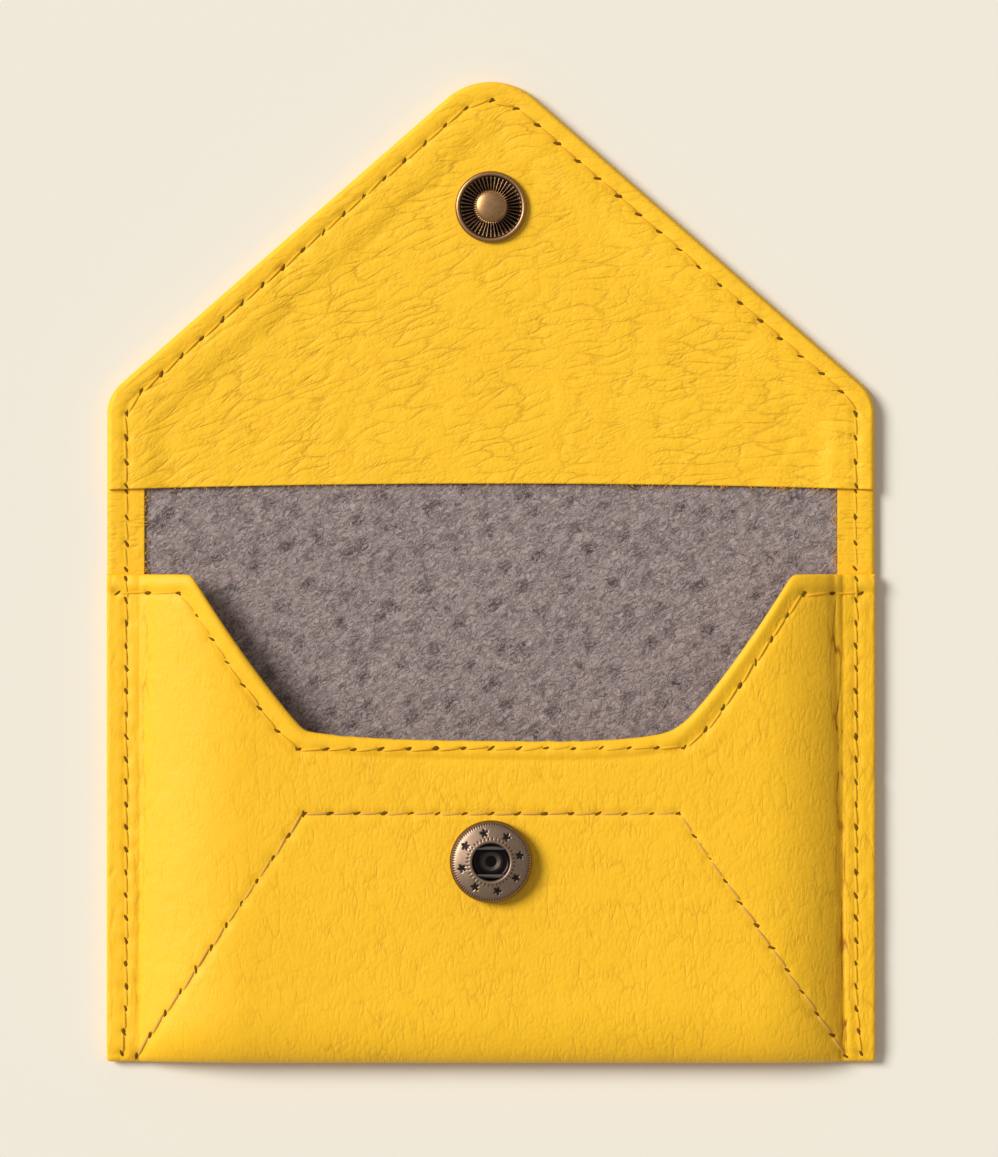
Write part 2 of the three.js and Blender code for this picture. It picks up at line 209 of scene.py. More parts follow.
@dataclass(frozen=True)
class Plan:
    """The wallet's outline and layers, as in the CAD source."""

    half: float = 57.1
    fold: float = 78.4
    slope: float = math.radians(41.2)
    tip: float = 10.0
    shoulder: float = 6.0
    ear: float = 72.5
    corner: float = 49.3
    mouth_top: float = 44.3
    mouth_bottom: float = 27.6
    mouth_bow: float = 1.0
    sag: float = 1.3
    bond: float = 0.04
    tightest: float = 0.8
    leather: float = 0.8
    suede: float = 0.4
    skived: float = 0.4
    turned: float = 5.6
    seam: float = 4.9
    rise: float = 7.4
    stretch: float = 2.2
    facing_low: float = 85.0
    facing_bow: float = 0.9
    stud_y: float = 127.0
    bend_below: float = 5.9
    bend_above: float = 6.2
    run_left: float = 16.0
    run_right: float = 14.0
    steep_left: float = 2.0
    steep_right: float = 2.5
    crease_foot: float = 52.7
    crease_lean: float = 0.026

    @property
    def apex(self) -> float:
        """Height at which the flap's straight sides would meet."""
        return OPEN_HEIGHT + self.tip * (1 / math.cos(self.slope) - 1)

    @property
    def shoulder_y(self) -> float:
        """Height of the centre of the shoulder's rounding."""
        reach = (self.half - self.shoulder) * math.sin(self.slope)
        return self.apex - (self.shoulder + reach) / math.cos(self.slope)

    def inset(self, x: np.ndarray, y: np.ndarray) -> np.ndarray:
        """Distance in from the open wallet's outline.

        Args:
            x: Place across, in mm.
            y: Place along, in mm.

        Returns:
            The distance, less than 0 outside.
        """
        reach = np.abs(x)
        slant = (self.apex - y) * math.cos(self.slope) - reach * math.sin(self.slope)
        near = np.minimum(self.half - reach, slant)
        tip_y = self.apex - self.tip / math.cos(self.slope)
        up = y - tip_y
        in_tip = (up > 0) & (reach < up * math.tan(self.slope))
        near = np.where(in_tip, self.tip - np.hypot(reach, up), near)
        dx, dy = reach - (self.half - self.shoulder), y - self.shoulder_y
        in_shoulder = (dx > 0) & (dy > 0) & (dy * math.sin(self.slope) < dx * math.cos(self.slope))
        return np.where(in_shoulder, self.shoulder - np.hypot(dx, dy), near)

    def flap_top(self, x: np.ndarray, inset: float = 0.0) -> np.ndarray:
        """Height of the flap's outline, or of a line inside it.

        Args:
            x: Place across, in mm.
            inset: How far inside the outline the line runs, in mm.

        Returns:
            The height at each place.
        """
        reach = np.abs(x)
        peak = self.apex - inset / math.cos(self.slope)
        height = peak - reach * math.tan(self.slope)
        tip = max(self.tip - inset, self.tightest)
        tip_y = peak - tip / math.cos(self.slope)
        rounded = tip_y + np.sqrt(np.clip(tip**2 - reach**2, 0, None))
        height = np.where(reach < tip * math.sin(self.slope), rounded, height)
        side = self.half - inset
        bend = max(self.shoulder - inset, self.tightest)
        bend_y = peak - (bend + (side - bend) * math.sin(self.slope)) / math.cos(self.slope)
        out = reach - (side - bend)
        rounded = bend_y + np.sqrt(np.clip(bend**2 - out**2, 0, None))
        return np.where(out > bend * math.sin(self.slope), rounded, height)

    def mouth(self, x: np.ndarray, inset: float = 0.0) -> np.ndarray:
        """Height of the mouth's edge, or of a line below it.

        Args:
            x: Place across, in mm.
            inset: How far below the edge the line runs, in mm.

        Returns:
            The height at each place.
        """
        reach = np.abs(x)
        slant = (self.ear - self.corner) / (self.mouth_top - self.mouth_bottom)
        along = np.clip((reach - self.mouth_bottom) / (self.mouth_top - self.mouth_bottom), 0, 1)
        side = self.corner + (reach - self.mouth_bottom) * slant
        side = side - 4 * self.mouth_bow * along * (1 - along)
        side = side - inset * math.hypot(1, slant)
        within = np.minimum(reach / self.mouth_bottom, 1)
        floor = self.corner - self.sag * (1 - within**3) - inset
        soft = 0.7 + 1.5 * ease((x + 20) / 40)  # the right corner is rounder than the left
        lowered = 0.5 * (floor + side + np.hypot(floor - side, soft)) - soft**2 / 12
        top = self.ear - inset
        return 0.5 * (top + lowered - np.hypot(top - lowered, 0.5)) + 0.02

    def front_rise(self, x: np.ndarray) -> np.ndarray:
        """Height of the front's outer face above the table.

        Args:
            x: Place across, in mm.

        Returns:
            The height at each place, up from the sewn margin to the puffed middle.
        """
        seam_top = 2 * self.leather + self.skived + self.leather - self.bond
        inner = self.half - self.seam
        share = np.clip((inner - np.abs(x)) / np.where(x > 0, self.run_right, self.run_left), 0, 1)
        steepness = np.where(x > 0, self.steep_right, self.steep_left)
        return seam_top + (self.rise - seam_top) * (1 - (1 - share) ** steepness)

    def facing_edge(self, x: np.ndarray | float) -> np.ndarray | float:
        """Height of the facing's cut edge, which bows up in the middle."""
        return self.facing_low + self.facing_bow * (1 - (x / self.half) ** 2)

    def crease_x(self, y: np.ndarray) -> np.ndarray:
        """Distance from the middle to the crease beside the puffed part, which leans outwards."""
        return self.crease_foot - self.crease_lean * y


@dataclass(frozen=True)
class SeamLine:
    """A line of stitches: its corners, whether it lies on the facing, its body and its pitch."""

    name: str
    corners: tuple[tuple[float, float], ...]
    on_facing: bool
    body: Body | None
    pitch: float = 4.0


@dataclass(frozen=True)
class Seams:
    """Where the wallet is sewn."""

    plan: Plan
    side_pitch: float = 3.4
    inset: float = 2.9
    hem: float = 2.8
    side: float = 54.2
    gap: float = 0.6
    hem_slant: tuple[float, float] = (28.5, 46.2)
    hem_ends: tuple[float, float] = (-55.6, 55.0)
    panel_top: tuple[float, float] = (27.7, 37.1)
    panel_foot: tuple[float, float] = (52.8, 0.8)
    sharp_turn: float = math.radians(24)
    hole_pull: float = 0.75

    def lines(self) -> list[SeamLine]:
        """Lays out every line of stitches.

        Returns:
            The lines. One that bends at the fold has no body of its own.
        """
        plan = self.plan
        reach = np.linspace(self.inset - plan.half, plan.half - self.inset, 61)
        crown = [(float(x), float(plan.flap_top(x, self.inset))) for x in reach]
        low = plan.facing_low + 0.5
        corners = ((reach[0], low), *crown, (reach[-1], low))
        made = [SeamLine("flap_seam", corners, True, Body.FLAP)]
        (top_x, top_y), (foot_x, foot_y) = self.panel_top, self.panel_foot
        corners = ((-foot_x, foot_y), (-top_x, top_y), (top_x, top_y), (foot_x, foot_y))
        made.append(SeamLine("panel_seam", corners, False, Body.POCKET))
        low_x, high_x = self.hem_slant
        across = np.concatenate([np.linspace(-high_x, -low_x, 7), np.linspace(low_x, high_x, 7)])
        mouth = [(float(x), float(plan.mouth(x, self.hem))) for x in across]
        ends = tuple((x, plan.ear - self.hem) for x in self.hem_ends)
        made.append(SeamLine("hem_seam", (ends[0], *mouth, ends[1]), False, Body.POCKET))
        for side, word in ((-1, "left"), (1, "right")):
            x = side * self.side
            corners = ((x, plan.ear - self.gap), (x, 9), (x + side * 0.7, 1.2))
            made.append(SeamLine(f"{word}_seam", corners, False, Body.POCKET, self.side_pitch))
            ends = ((x, low - self.gap), (x, plan.ear + self.gap))
            made.append(SeamLine(f"{word}_band_seam", ends, False, None, self.side_pitch))
        return made

    def stitches(self, seam: SeamLine) -> list[tuple[np.ndarray, np.ndarray]]:
        """The needle holes in pairs, one pair to a stitch.

        Args:
            seam: The line to divide. Its stitches meet at each sharp corner.

        Returns:
            Start and end of each stitch in plan, in mm.
        """
        points = [np.array(corner) for corner in seam.corners]
        runs, run = [], [points[0]]
        for before, here, after in zip(points, points[1:], points[2:]):
            run.append(here)
            first, second = here - before, after - here
            turn = abs(math.atan2(first[0] * second[1] - first[1] * second[0], first @ second))
            if turn > self.sharp_turn:
                runs.append(run)
                run = [here]
        runs.append(run + [points[-1]])
        pairs = []
        for corners in runs:
            lengths = [np.linalg.norm(b - a) for a, b in zip(corners, corners[1:])]
            marks = np.concatenate([[0], np.cumsum(lengths)])
            count = max(1, round(marks[-1] / seam.pitch))
            places = np.linspace(0, marks[-1], count + 1)
            x = np.interp(places, marks, [c[0] for c in corners])
            y = np.interp(places, marks, [c[1] for c in corners])
            holes = np.stack([x, y], 1)
            pairs += list(zip(holes[:-1], holes[1:]))
        return pairs

    def dimples(self, x: np.ndarray, y: np.ndarray, on_facing: bool) -> np.ndarray:
        """How far the needle holes of one face pull the leather in.

        Args:
            x: Place across, in mm.
            y: Place along, in mm.
            on_facing: Whether the face is the flap's facing and not the front.

        Returns:
            The share of a full dimple, from 0 to 1.
        """
        depth = np.zeros_like(x)
        for seam in self.lines():
            if seam.body is None or seam.on_facing != on_facing:
                continue
            pairs = self.stitches(seam)
            for hole in [start for start, _ in pairs] + [pairs[-1][1]]:
                away = np.hypot(x - hole[0], y - hole[1])
                depth = np.maximum(depth, bell(away, self.hole_pull))
        return depth


def columns(reach: float, step: float, keys: tuple[float, ...] = ()) -> np.ndarray:
    """Places across a sheet, close together near its edges and near each key.

    Args:
        reach: Half width of the sheet, in mm.
        step: Spacing away from the edges, in mm.
        keys: Distances from the middle that need a close pair of columns.

    Returns:
        Sorted places from -reach to reach.
    """
    middle = reach - EDGE_RUN
    right = list(np.linspace(0, middle, max(2, round(middle / step))))
    right += [reach - d for d in EDGE_COLUMNS]
    for key in keys:
        right += [key - 0.03, key + 0.03]
    ordered = np.unique(np.round(right, 4))
    return np.concatenate([-ordered[:0:-1], ordered])


def grid(x: np.ndarray, rows: list[np.ndarray]) -> tuple[np.ndarray, np.ndarray]:
    """Grids of places from one row of columns and the height of each row.

    Args:
        x: Places across, in mm.
        rows: Height along at each of those places, one array to a row.

    Returns:
        Place across and place along, each [column][row].
    """
    y = np.stack(rows, 1)
    return np.repeat(x[:, None], y.shape[1], 1), y


@dataclass
class Sheet:
    """A closed sheet between an outer and an inner grid, each [column][row][xyz] in mm."""

    name: str
    outer: np.ndarray
    inner: np.ndarray
    marks: dict[str, np.ndarray] = field(default_factory=dict)

    def build(self) -> bpy.types.Object:
        """Makes the mesh, in metres, and keeps each point's place at rest for the patterns.

        Returns:
            The new object, smooth shaded and in the scene.
        """
        count_i, count_j = self.outer.shape[:2]
        points = np.concatenate([self.outer.reshape(-1, 3), self.inner.reshape(-1, 3)])
        index = np.arange(count_i * count_j).reshape(count_i, count_j)
        under = index + count_i * count_j

        def quads(a: np.ndarray, b: np.ndarray, c: np.ndarray, d: np.ndarray) -> np.ndarray:
            """Four-cornered faces from the four corners' numbers."""
            return np.stack([a.ravel(), b.ravel(), c.ravel(), d.ravel()], axis=1)

        faces = np.concatenate(
            [
                quads(index[:-1, :-1], index[1:, :-1], index[1:, 1:], index[:-1, 1:]),
                quads(under[:-1, :-1], under[:-1, 1:], under[1:, 1:], under[1:, :-1]),
                quads(under[:-1, 0], under[1:, 0], index[1:, 0], index[:-1, 0]),
                quads(index[:-1, -1], index[1:, -1], under[1:, -1], under[:-1, -1]),
                quads(index[0, :-1], index[0, 1:], under[0, 1:], under[0, :-1]),
                quads(under[-1, :-1], under[-1, 1:], index[-1, 1:], index[-1, :-1]),
            ]
        )
        kept = {}
        for mark, values in self.marks.items():
            flat = values.reshape(count_i * count_j, -1)
            kept[mark] = np.concatenate([flat, flat])
        return mesh_object(self.name, points, faces, kept)


def mesh_object(
    name: str, points: np.ndarray, faces: np.ndarray, marks: dict[str, np.ndarray] | None = None
) -> bpy.types.Object:
    """Adds a mesh to the scene from points in the wallet's plan.

    Args:
        name: Name of the object.
        points: Points in mm, with y up from the bottom fold.
        faces: Corner numbers, three or four to a face.
        marks: More values for each point, by attribute name.

    Returns:
        The new object, smooth shaded.
    """
    placed = (points - np.array([0, OPEN_HEIGHT / 2, 0])) * MM
    mesh = bpy.data.meshes.new(name)
    mesh.from_pydata(placed.tolist(), [], faces.tolist())
    mesh.update()
    mesh.polygons.foreach_set("use_smooth", np.ones(len(mesh.polygons), dtype=bool))
    rest = mesh.attributes.new("rest_mm", "FLOAT_VECTOR", "POINT")
    rest.data.foreach_set("vector", points.astype(np.float32).ravel())
    for mark, values in (marks or {}).items():
        wide = values.ndim > 1 and values.shape[1] == 3
        layer = mesh.attributes.new(mark, "FLOAT_VECTOR" if wide else "FLOAT", "POINT")
        layer.data.foreach_set("vector" if wide else "value", values.astype(np.float32).ravel())
    made = bpy.data.objects.new(name, mesh)
    bpy.context.scene.collection.objects.link(made)
    return made


@dataclass
class ShaderTree:
    """A material under construction."""

    name: str
    material: bpy.types.Material = field(init=False)

    def __post_init__(self) -> None:
        """Starts an empty node tree."""
        self.material = bpy.data.materials.new(self.name)
        self.material.use_nodes = True
        self.material.node_tree.nodes.clear()

    def node(
        self, kind: str, settings: dict | None = None, links: dict | None = None
    ) -> bpy.types.Node:
        """Adds one node.

        Args:
            kind: Blender's node type.
            settings: Values by property name, or by input socket name or number.
            links: Output sockets by the input's name or number.

        Returns:
            The node.
        """
        made = self.material.node_tree.nodes.new(kind)
        for key, value in (settings or {}).items():
            if isinstance(key, str) and hasattr(made, key):
                setattr(made, key, value)
            else:
                made.inputs[key].default_value = value
        for key, socket in (links or {}).items():
            self.material.node_tree.links.new(socket, made.inputs[key])
        return made

    def rest(
        self, size: tuple[float, float, float] = (1, 1, 1), turn: float = 0.0, mark: str = "rest_mm"
    ) -> Socket:
        """Each point's place at rest, in a frame of its own.

        Args:
            size: Length in mm that becomes 1, along each axis.
            turn: Turn of the frame about z, in degrees.
            mark: The mesh's attribute that holds the place.

        Returns:
            The place, turned and then divided by the size.
        """
        place = self.node("ShaderNodeAttribute", {"attribute_name": mark})
        return self.node(
            "ShaderNodeMapping",
            {"vector_type": "TEXTURE", "Scale": size, "Rotation": (0, 0, math.radians(turn))},
            {"Vector": place.outputs["Vector"]},
        ).outputs["Vector"]

    def mark(self, name: str) -> Socket:
        """A value that the mesh carries at each point."""
        return self.node("ShaderNodeAttribute", {"attribute_name": name}).outputs["Fac"]

    def calc(self, operation: str, *values: Socket | float) -> Socket:
        """Works out one number.

        Args:
            operation: Name of the sum, as the math node has it.
            values: Its numbers and sockets, in order.

        Returns:
            The result.
        """
        made = self.node("ShaderNodeMath", {"operation": operation})
        for index, value in enumerate(values):
            if isinstance(value, (int, float)):
                made.inputs[index].default_value = value
            else:
                self.material.node_tree.links.new(value, made.inputs[index])
        return made.outputs[0]

    def total(self, values: list[Socket]) -> Socket:
        """Adds up several sockets.

        Args:
            values: At least one socket.

        Returns:
            Their sum.
        """
        result = values[0]
        for value in values[1:]:
            result = self.calc("ADD", result, value)
        return result

    def noise(
        self, size: float, detail: float = 2.0, roughness: float = 0.5, place: Socket | None = None
    ) -> bpy.types.Node:
        """Adds soft noise.

        Args:
            size: Distance between its hills, in mm.
            detail: How many finer layers it has.
            roughness: How strong each finer layer is.
            place: Where each point lies, its place at rest if left out.

        Returns:
            The noise node.
        """
        return self.node(
            "ShaderNodeTexNoise",
            {"Scale": 1 / size, "Detail": detail, "Roughness": roughness},
            {"Vector": place or self.rest()},
        )

    def mix(self, factor: Socket, first: str, second: str) -> Socket:
        """Mixes two colours.

        Args:
            factor: 0 for the first colour, up to 1 for the second.
            first: Hex colour.
            second: Hex colour.

        Returns:
            The colour between them.
        """
        return self.node(
            "ShaderNodeMix",
            {"data_type": "RGBA", "A": linear(first), "B": linear(second)},
            {"Factor": factor},
        ).outputs["Result"]

    def bump(self, height: Socket) -> Socket:
        """A normal for relief given in mm."""
        return self.node("ShaderNodeBump", {"Distance": MM}, {"Height": height}).outputs["Normal"]

    def span(
        self, value: Socket, low: float, high: float, to_low: float = 0.0, to_high: float = 1.0
    ) -> Socket:
        """Maps a value from one range to another.

        Args:
            value: What to map.
            low: Start of its range.
            high: End of its range.
            to_low: Result at the start, and below it.
            to_high: Result at the end, and above it.

        Returns:
            The mapped value.
        """
        return self.node(
            "ShaderNodeMapRange",
            {"From Min": low, "From Max": high, "To Min": to_low, "To Max": to_high},
            {"Value": value},
        ).outputs["Result"]

    def surface(self, shader: Socket) -> bpy.types.Material:
        """Ends the tree with a surface shader and returns the material."""
        self.node("ShaderNodeOutputMaterial", None, {"Surface": shader})
        return self.material


@dataclass(frozen=True)
class CreaseNet:
    """A net of fine creases between long plates of grain, where the mesh's mark lets it show, with
    painted shade in its lines.
    """

    cell_mm: float
    stretch: float
    turn: float = 0.0
    line: float = 0.09
    shown: tuple[float, float] = (0.35, 0.6)
    depth_mm: float = 0.05
    darkness: float = 0.2
    mark: str = "grain"
    wander: float = 0.9
    plate: float = 0.42
    puff: float = 1.6

    def add(self, tree: ShaderTree) -> tuple[Socket, Socket]:
        """Adds the net to a material.

        Args:
            tree: The material under construction.

        Returns:
            Sockets for the relief in mm and for the painted shade in the creases, from 0 to 1.
        """
        size = (self.cell_mm * self.stretch, self.cell_mm, self.cell_mm)
        place = tree.rest(size, self.turn, "flow_mm")
        warp = tree.noise(1.0, 3.0, 0.6, place)
        wandered = tree.node(
            "ShaderNodeVectorMath",
            {"operation": "MULTIPLY_ADD", 1: (self.wander, self.wander, 0)},
            {0: warp.outputs["Color"], 2: place},
        )
        edge = tree.node(
            "ShaderNodeTexVoronoi",
            {"voronoi_dimensions": "2D", "feature": "DISTANCE_TO_EDGE", "Scale": 1.0},
            {"Vector": wandered.outputs["Vector"]},
        ).outputs["Distance"]
        patch = tree.noise(3.2 * self.cell_mm, 2.0).outputs["Fac"]
        there = tree.calc("MULTIPLY", tree.span(patch, *self.shown), tree.mark(self.mark))
        line = tree.calc("MULTIPLY", tree.span(edge, 0.0, self.line, 1.0, 0.0), there)
        low = -self.puff * self.depth_mm
        puffed = tree.calc("MULTIPLY", tree.span(edge, 0.0, self.plate, low, 0.0), there)
        relief = tree.calc("MULTIPLY_ADD", line, -self.depth_mm, puffed)
        # The darkness along the crease lines is painted shade.
        return relief, tree.calc("MULTIPLY", line, self.darkness)


@dataclass(frozen=True)
class LeatherFinish:
    """Drum-dyed goat leather with a semi-matt pigment coat over its natural grain."""

    name: str
    nets: tuple[CreaseNet, ...]
    colour: str = "#FBC024"
    # deep is the colour of the painted shade in the creases and of the cloud's random tone.
    deep: str = "#A35C00"
    roughness: float = 0.5
    gloss: float = 0.22
    pebble_mm: float = 0.6
    pebble_depth: float = 0.035
    cloud_mm: float = 16.0

    def material(self) -> bpy.types.Material:
        """Pebbles break up the sheen, and thin creases between the grain's plates get painted
        shade.

        Returns:
            The material.
        """
        tree = ShaderTree(self.name)
        pebbles = tree.node(
            "ShaderNodeTexVoronoi",
            {"feature": "SMOOTH_F1", "Scale": 1 / self.pebble_mm, "Smoothness": 0.4},
            {"Vector": tree.rest()},
        ).outputs["Distance"]
        depth = -self.pebble_depth
        bare = tree.span(tree.mark("grain"), 0.0, 1.0, 0.3 * depth, depth)
        added = [net.add(tree) for net in self.nets]
        grain = tree.calc("MULTIPLY", pebbles, bare)
        relief = tree.total([grain, *(height for height, _ in added)])
        cloud = tree.span(tree.noise(self.cloud_mm).outputs["Fac"], 0.3, 0.7, 0.0, 0.05)
        # The cloud's random tone plus the creases' painted shade.
        shade = tree.total([cloud, *(dark for _, dark in added)])
        colour = tree.mix(shade, self.colour, self.deep)
        skin = tree.node(
            "ShaderNodeBsdfPrincipled",
            {"Roughness": self.roughness, "Specular IOR Level": self.gloss},
            {"Base Color": colour, "Normal": tree.bump(relief)},
        )
        return tree.surface(skin.outputs[0])


@dataclass(frozen=True)
class SuedeFinish:
    """Split pigskin, buffed to a short nap that dips into the pits where the bristles grew."""

    name: str = "pigskin suede, buffed"
    colour: str = "#B7A49D"
    # hollow is the colour of the pits' painted shade and of the nap's darker tufts and fibres.
    hollow: str = "#44393C"
    pit_mm: float = 4.4
    tuft_mm: float = 1.7
    fibre_mm: float = 0.26
    pit_shade: float = 0.25
    tuft_shade: float = 0.16
    fibre_shade: float = 0.7
    pit_depth: float = 0.24
    fibre_height: float = 0.2

    def material(self) -> bpy.types.Material:
        """Painted shade in the soft pits and pale fibre ends give the nap its grain, with no
        highlight.

        Returns:
            The material.
        """
        tree = ShaderTree(self.name)
        wavy = tree.node(
            "ShaderNodeVectorMath",
            {"operation": "MULTIPLY_ADD", 1: (1.5, 1.5, 0)},
            {0: tree.noise(0.9, 3.0).outputs["Color"], 2: tree.rest((1.25, 1.0, 1.0), 30)},
        ).outputs["Vector"]
        cells = tree.node(
            "ShaderNodeTexVoronoi",
            {"voronoi_dimensions": "2D", "Scale": 1 / self.pit_mm, "Randomness": 0.7},
            {"Vector": wavy},
        ).outputs["Distance"]
        clumps = tree.span(tree.noise(2.0 * self.pit_mm).outputs["Fac"], 0.32, 0.6, 0.35, 1.0)
        pits = tree.calc("MULTIPLY", tree.span(cells, 0.08, 0.3, 1.0, 0.0), clumps)
        tufts = tree.span(tree.noise(self.tuft_mm, 3.0, 0.62).outputs["Fac"], 0.36, 0.54, 1.0, 0.0)
        swirl = tree.node(
            "ShaderNodeVectorMath",
            {"operation": "MULTIPLY_ADD", 1: (1.6, 1.6, 0)},
            {0: tree.noise(1.1).outputs["Color"], 2: tree.rest((2.2, 1.0, 1.0), 35)},
        ).outputs["Vector"]
        fibres = tree.noise(self.fibre_mm, 3.0, 0.7, swirl).outputs["Fac"]
        # The pits' darkening is painted shade; the tufts and fibres add the nap's own random tone.
        dark = tree.total(
            [
                tree.calc("MULTIPLY", pits, self.pit_shade),
                tree.calc("MULTIPLY", tufts, self.tuft_shade),
                tree.span(fibres, 0.38, 0.64, self.fibre_shade, 0.0),
            ]
        )
        sunk = tree.calc("MULTIPLY", pits, -self.pit_depth)
        relief = tree.total([sunk, tree.calc("MULTIPLY", fibres, self.fibre_height)])
        skin = tree.node(
            "ShaderNodeBsdfPrincipled",
            {"Roughness": 0.95, "Specular IOR Level": 0.1, "Sheen Weight": 0.12},
            {"Base Color": tree.mix(dark, self.colour, self.hollow), "Normal": tree.bump(relief)},
        )
        return tree.surface(skin.outputs[0])


@dataclass(frozen=True)
class MetalFinish:
    """Stamped metal, darkened and then buffed so that the high spots come up bright."""

    name: str
    bright: str = "#AD8A69"
    dark: str = "#2A2223"
    roughness: float = 0.42
    antiquing_and_painted_shade: bool = False
    speck_mm: float = 0.5
    speck_height: float = 0.006

    def material(self) -> bpy.types.Material:
        """Buffed high spots catch the light, the dark antiquing stays in the stamped hollows, and
        painted shade darkens the holes and the neck under the stud's head.

        Returns:
            The material.
        """
        tree = ShaderTree(self.name)
        specks = tree.noise(self.speck_mm, 4.0, 0.65).outputs["Fac"]
        shade = tree.span(specks, 0.35, 0.75, 0.0, 0.25)
        links = {}
        if self.antiquing_and_painted_shade:
            # The hollow mark holds the antiquing in stamped hollows, darkened edges, and painted
            # shade in holes and under the stud's head.
            hollow = tree.mark("hollow")
            shade = tree.calc("MINIMUM", tree.calc("ADD", hollow, shade), 1.0)
            links["Roughness"] = tree.calc("MULTIPLY_ADD", hollow, -0.18, self.roughness)
        metal = tree.node(
            "ShaderNodeBsdfPrincipled",
            {"Metallic": 1.0, "Roughness": self.roughness},
            links
            | {
                "Base Color": tree.mix(shade, self.bright, self.dark),
                "Normal": tree.bump(tree.calc("MULTIPLY", specks, self.speck_height)),
            },
        )
        return tree.surface(metal.outputs[0])


@dataclass(frozen=True)
class PlainFinish:
    """A finish of one colour, such as sewing thread, a needle hole or the table."""

    name: str
    colour: str
    roughness: float = 0.6
    gloss: float = 0.5

    def material(self) -> bpy.types.Material:
        """An even, dull surface.

        Returns:
            The material.
        """
        tree = ShaderTree(self.name)
        skin = tree.node(
            "ShaderNodeBsdfPrincipled",
            {
                "Base Color": linear(self.colour),
                "Roughness": self.roughness,
                "Specular IOR Level": self.gloss,
            },
        )
        return tree.surface(skin.outputs[0])


def finish(made: bpy.types.Object, material: bpy.types.Material) -> None:
    """Gives a piece its looks.

    Args:
        made: The piece.
        material: Its only material.
    """
    made.data.materials.clear()
    made.data.materials.append(material)


def bend_at_fold(made: bpy.types.Object) -> None:
    """Bakes a piece's placement into its mesh; the piece is tied to neither body.

    Args:
        made: The piece.
    """
    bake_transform(made)


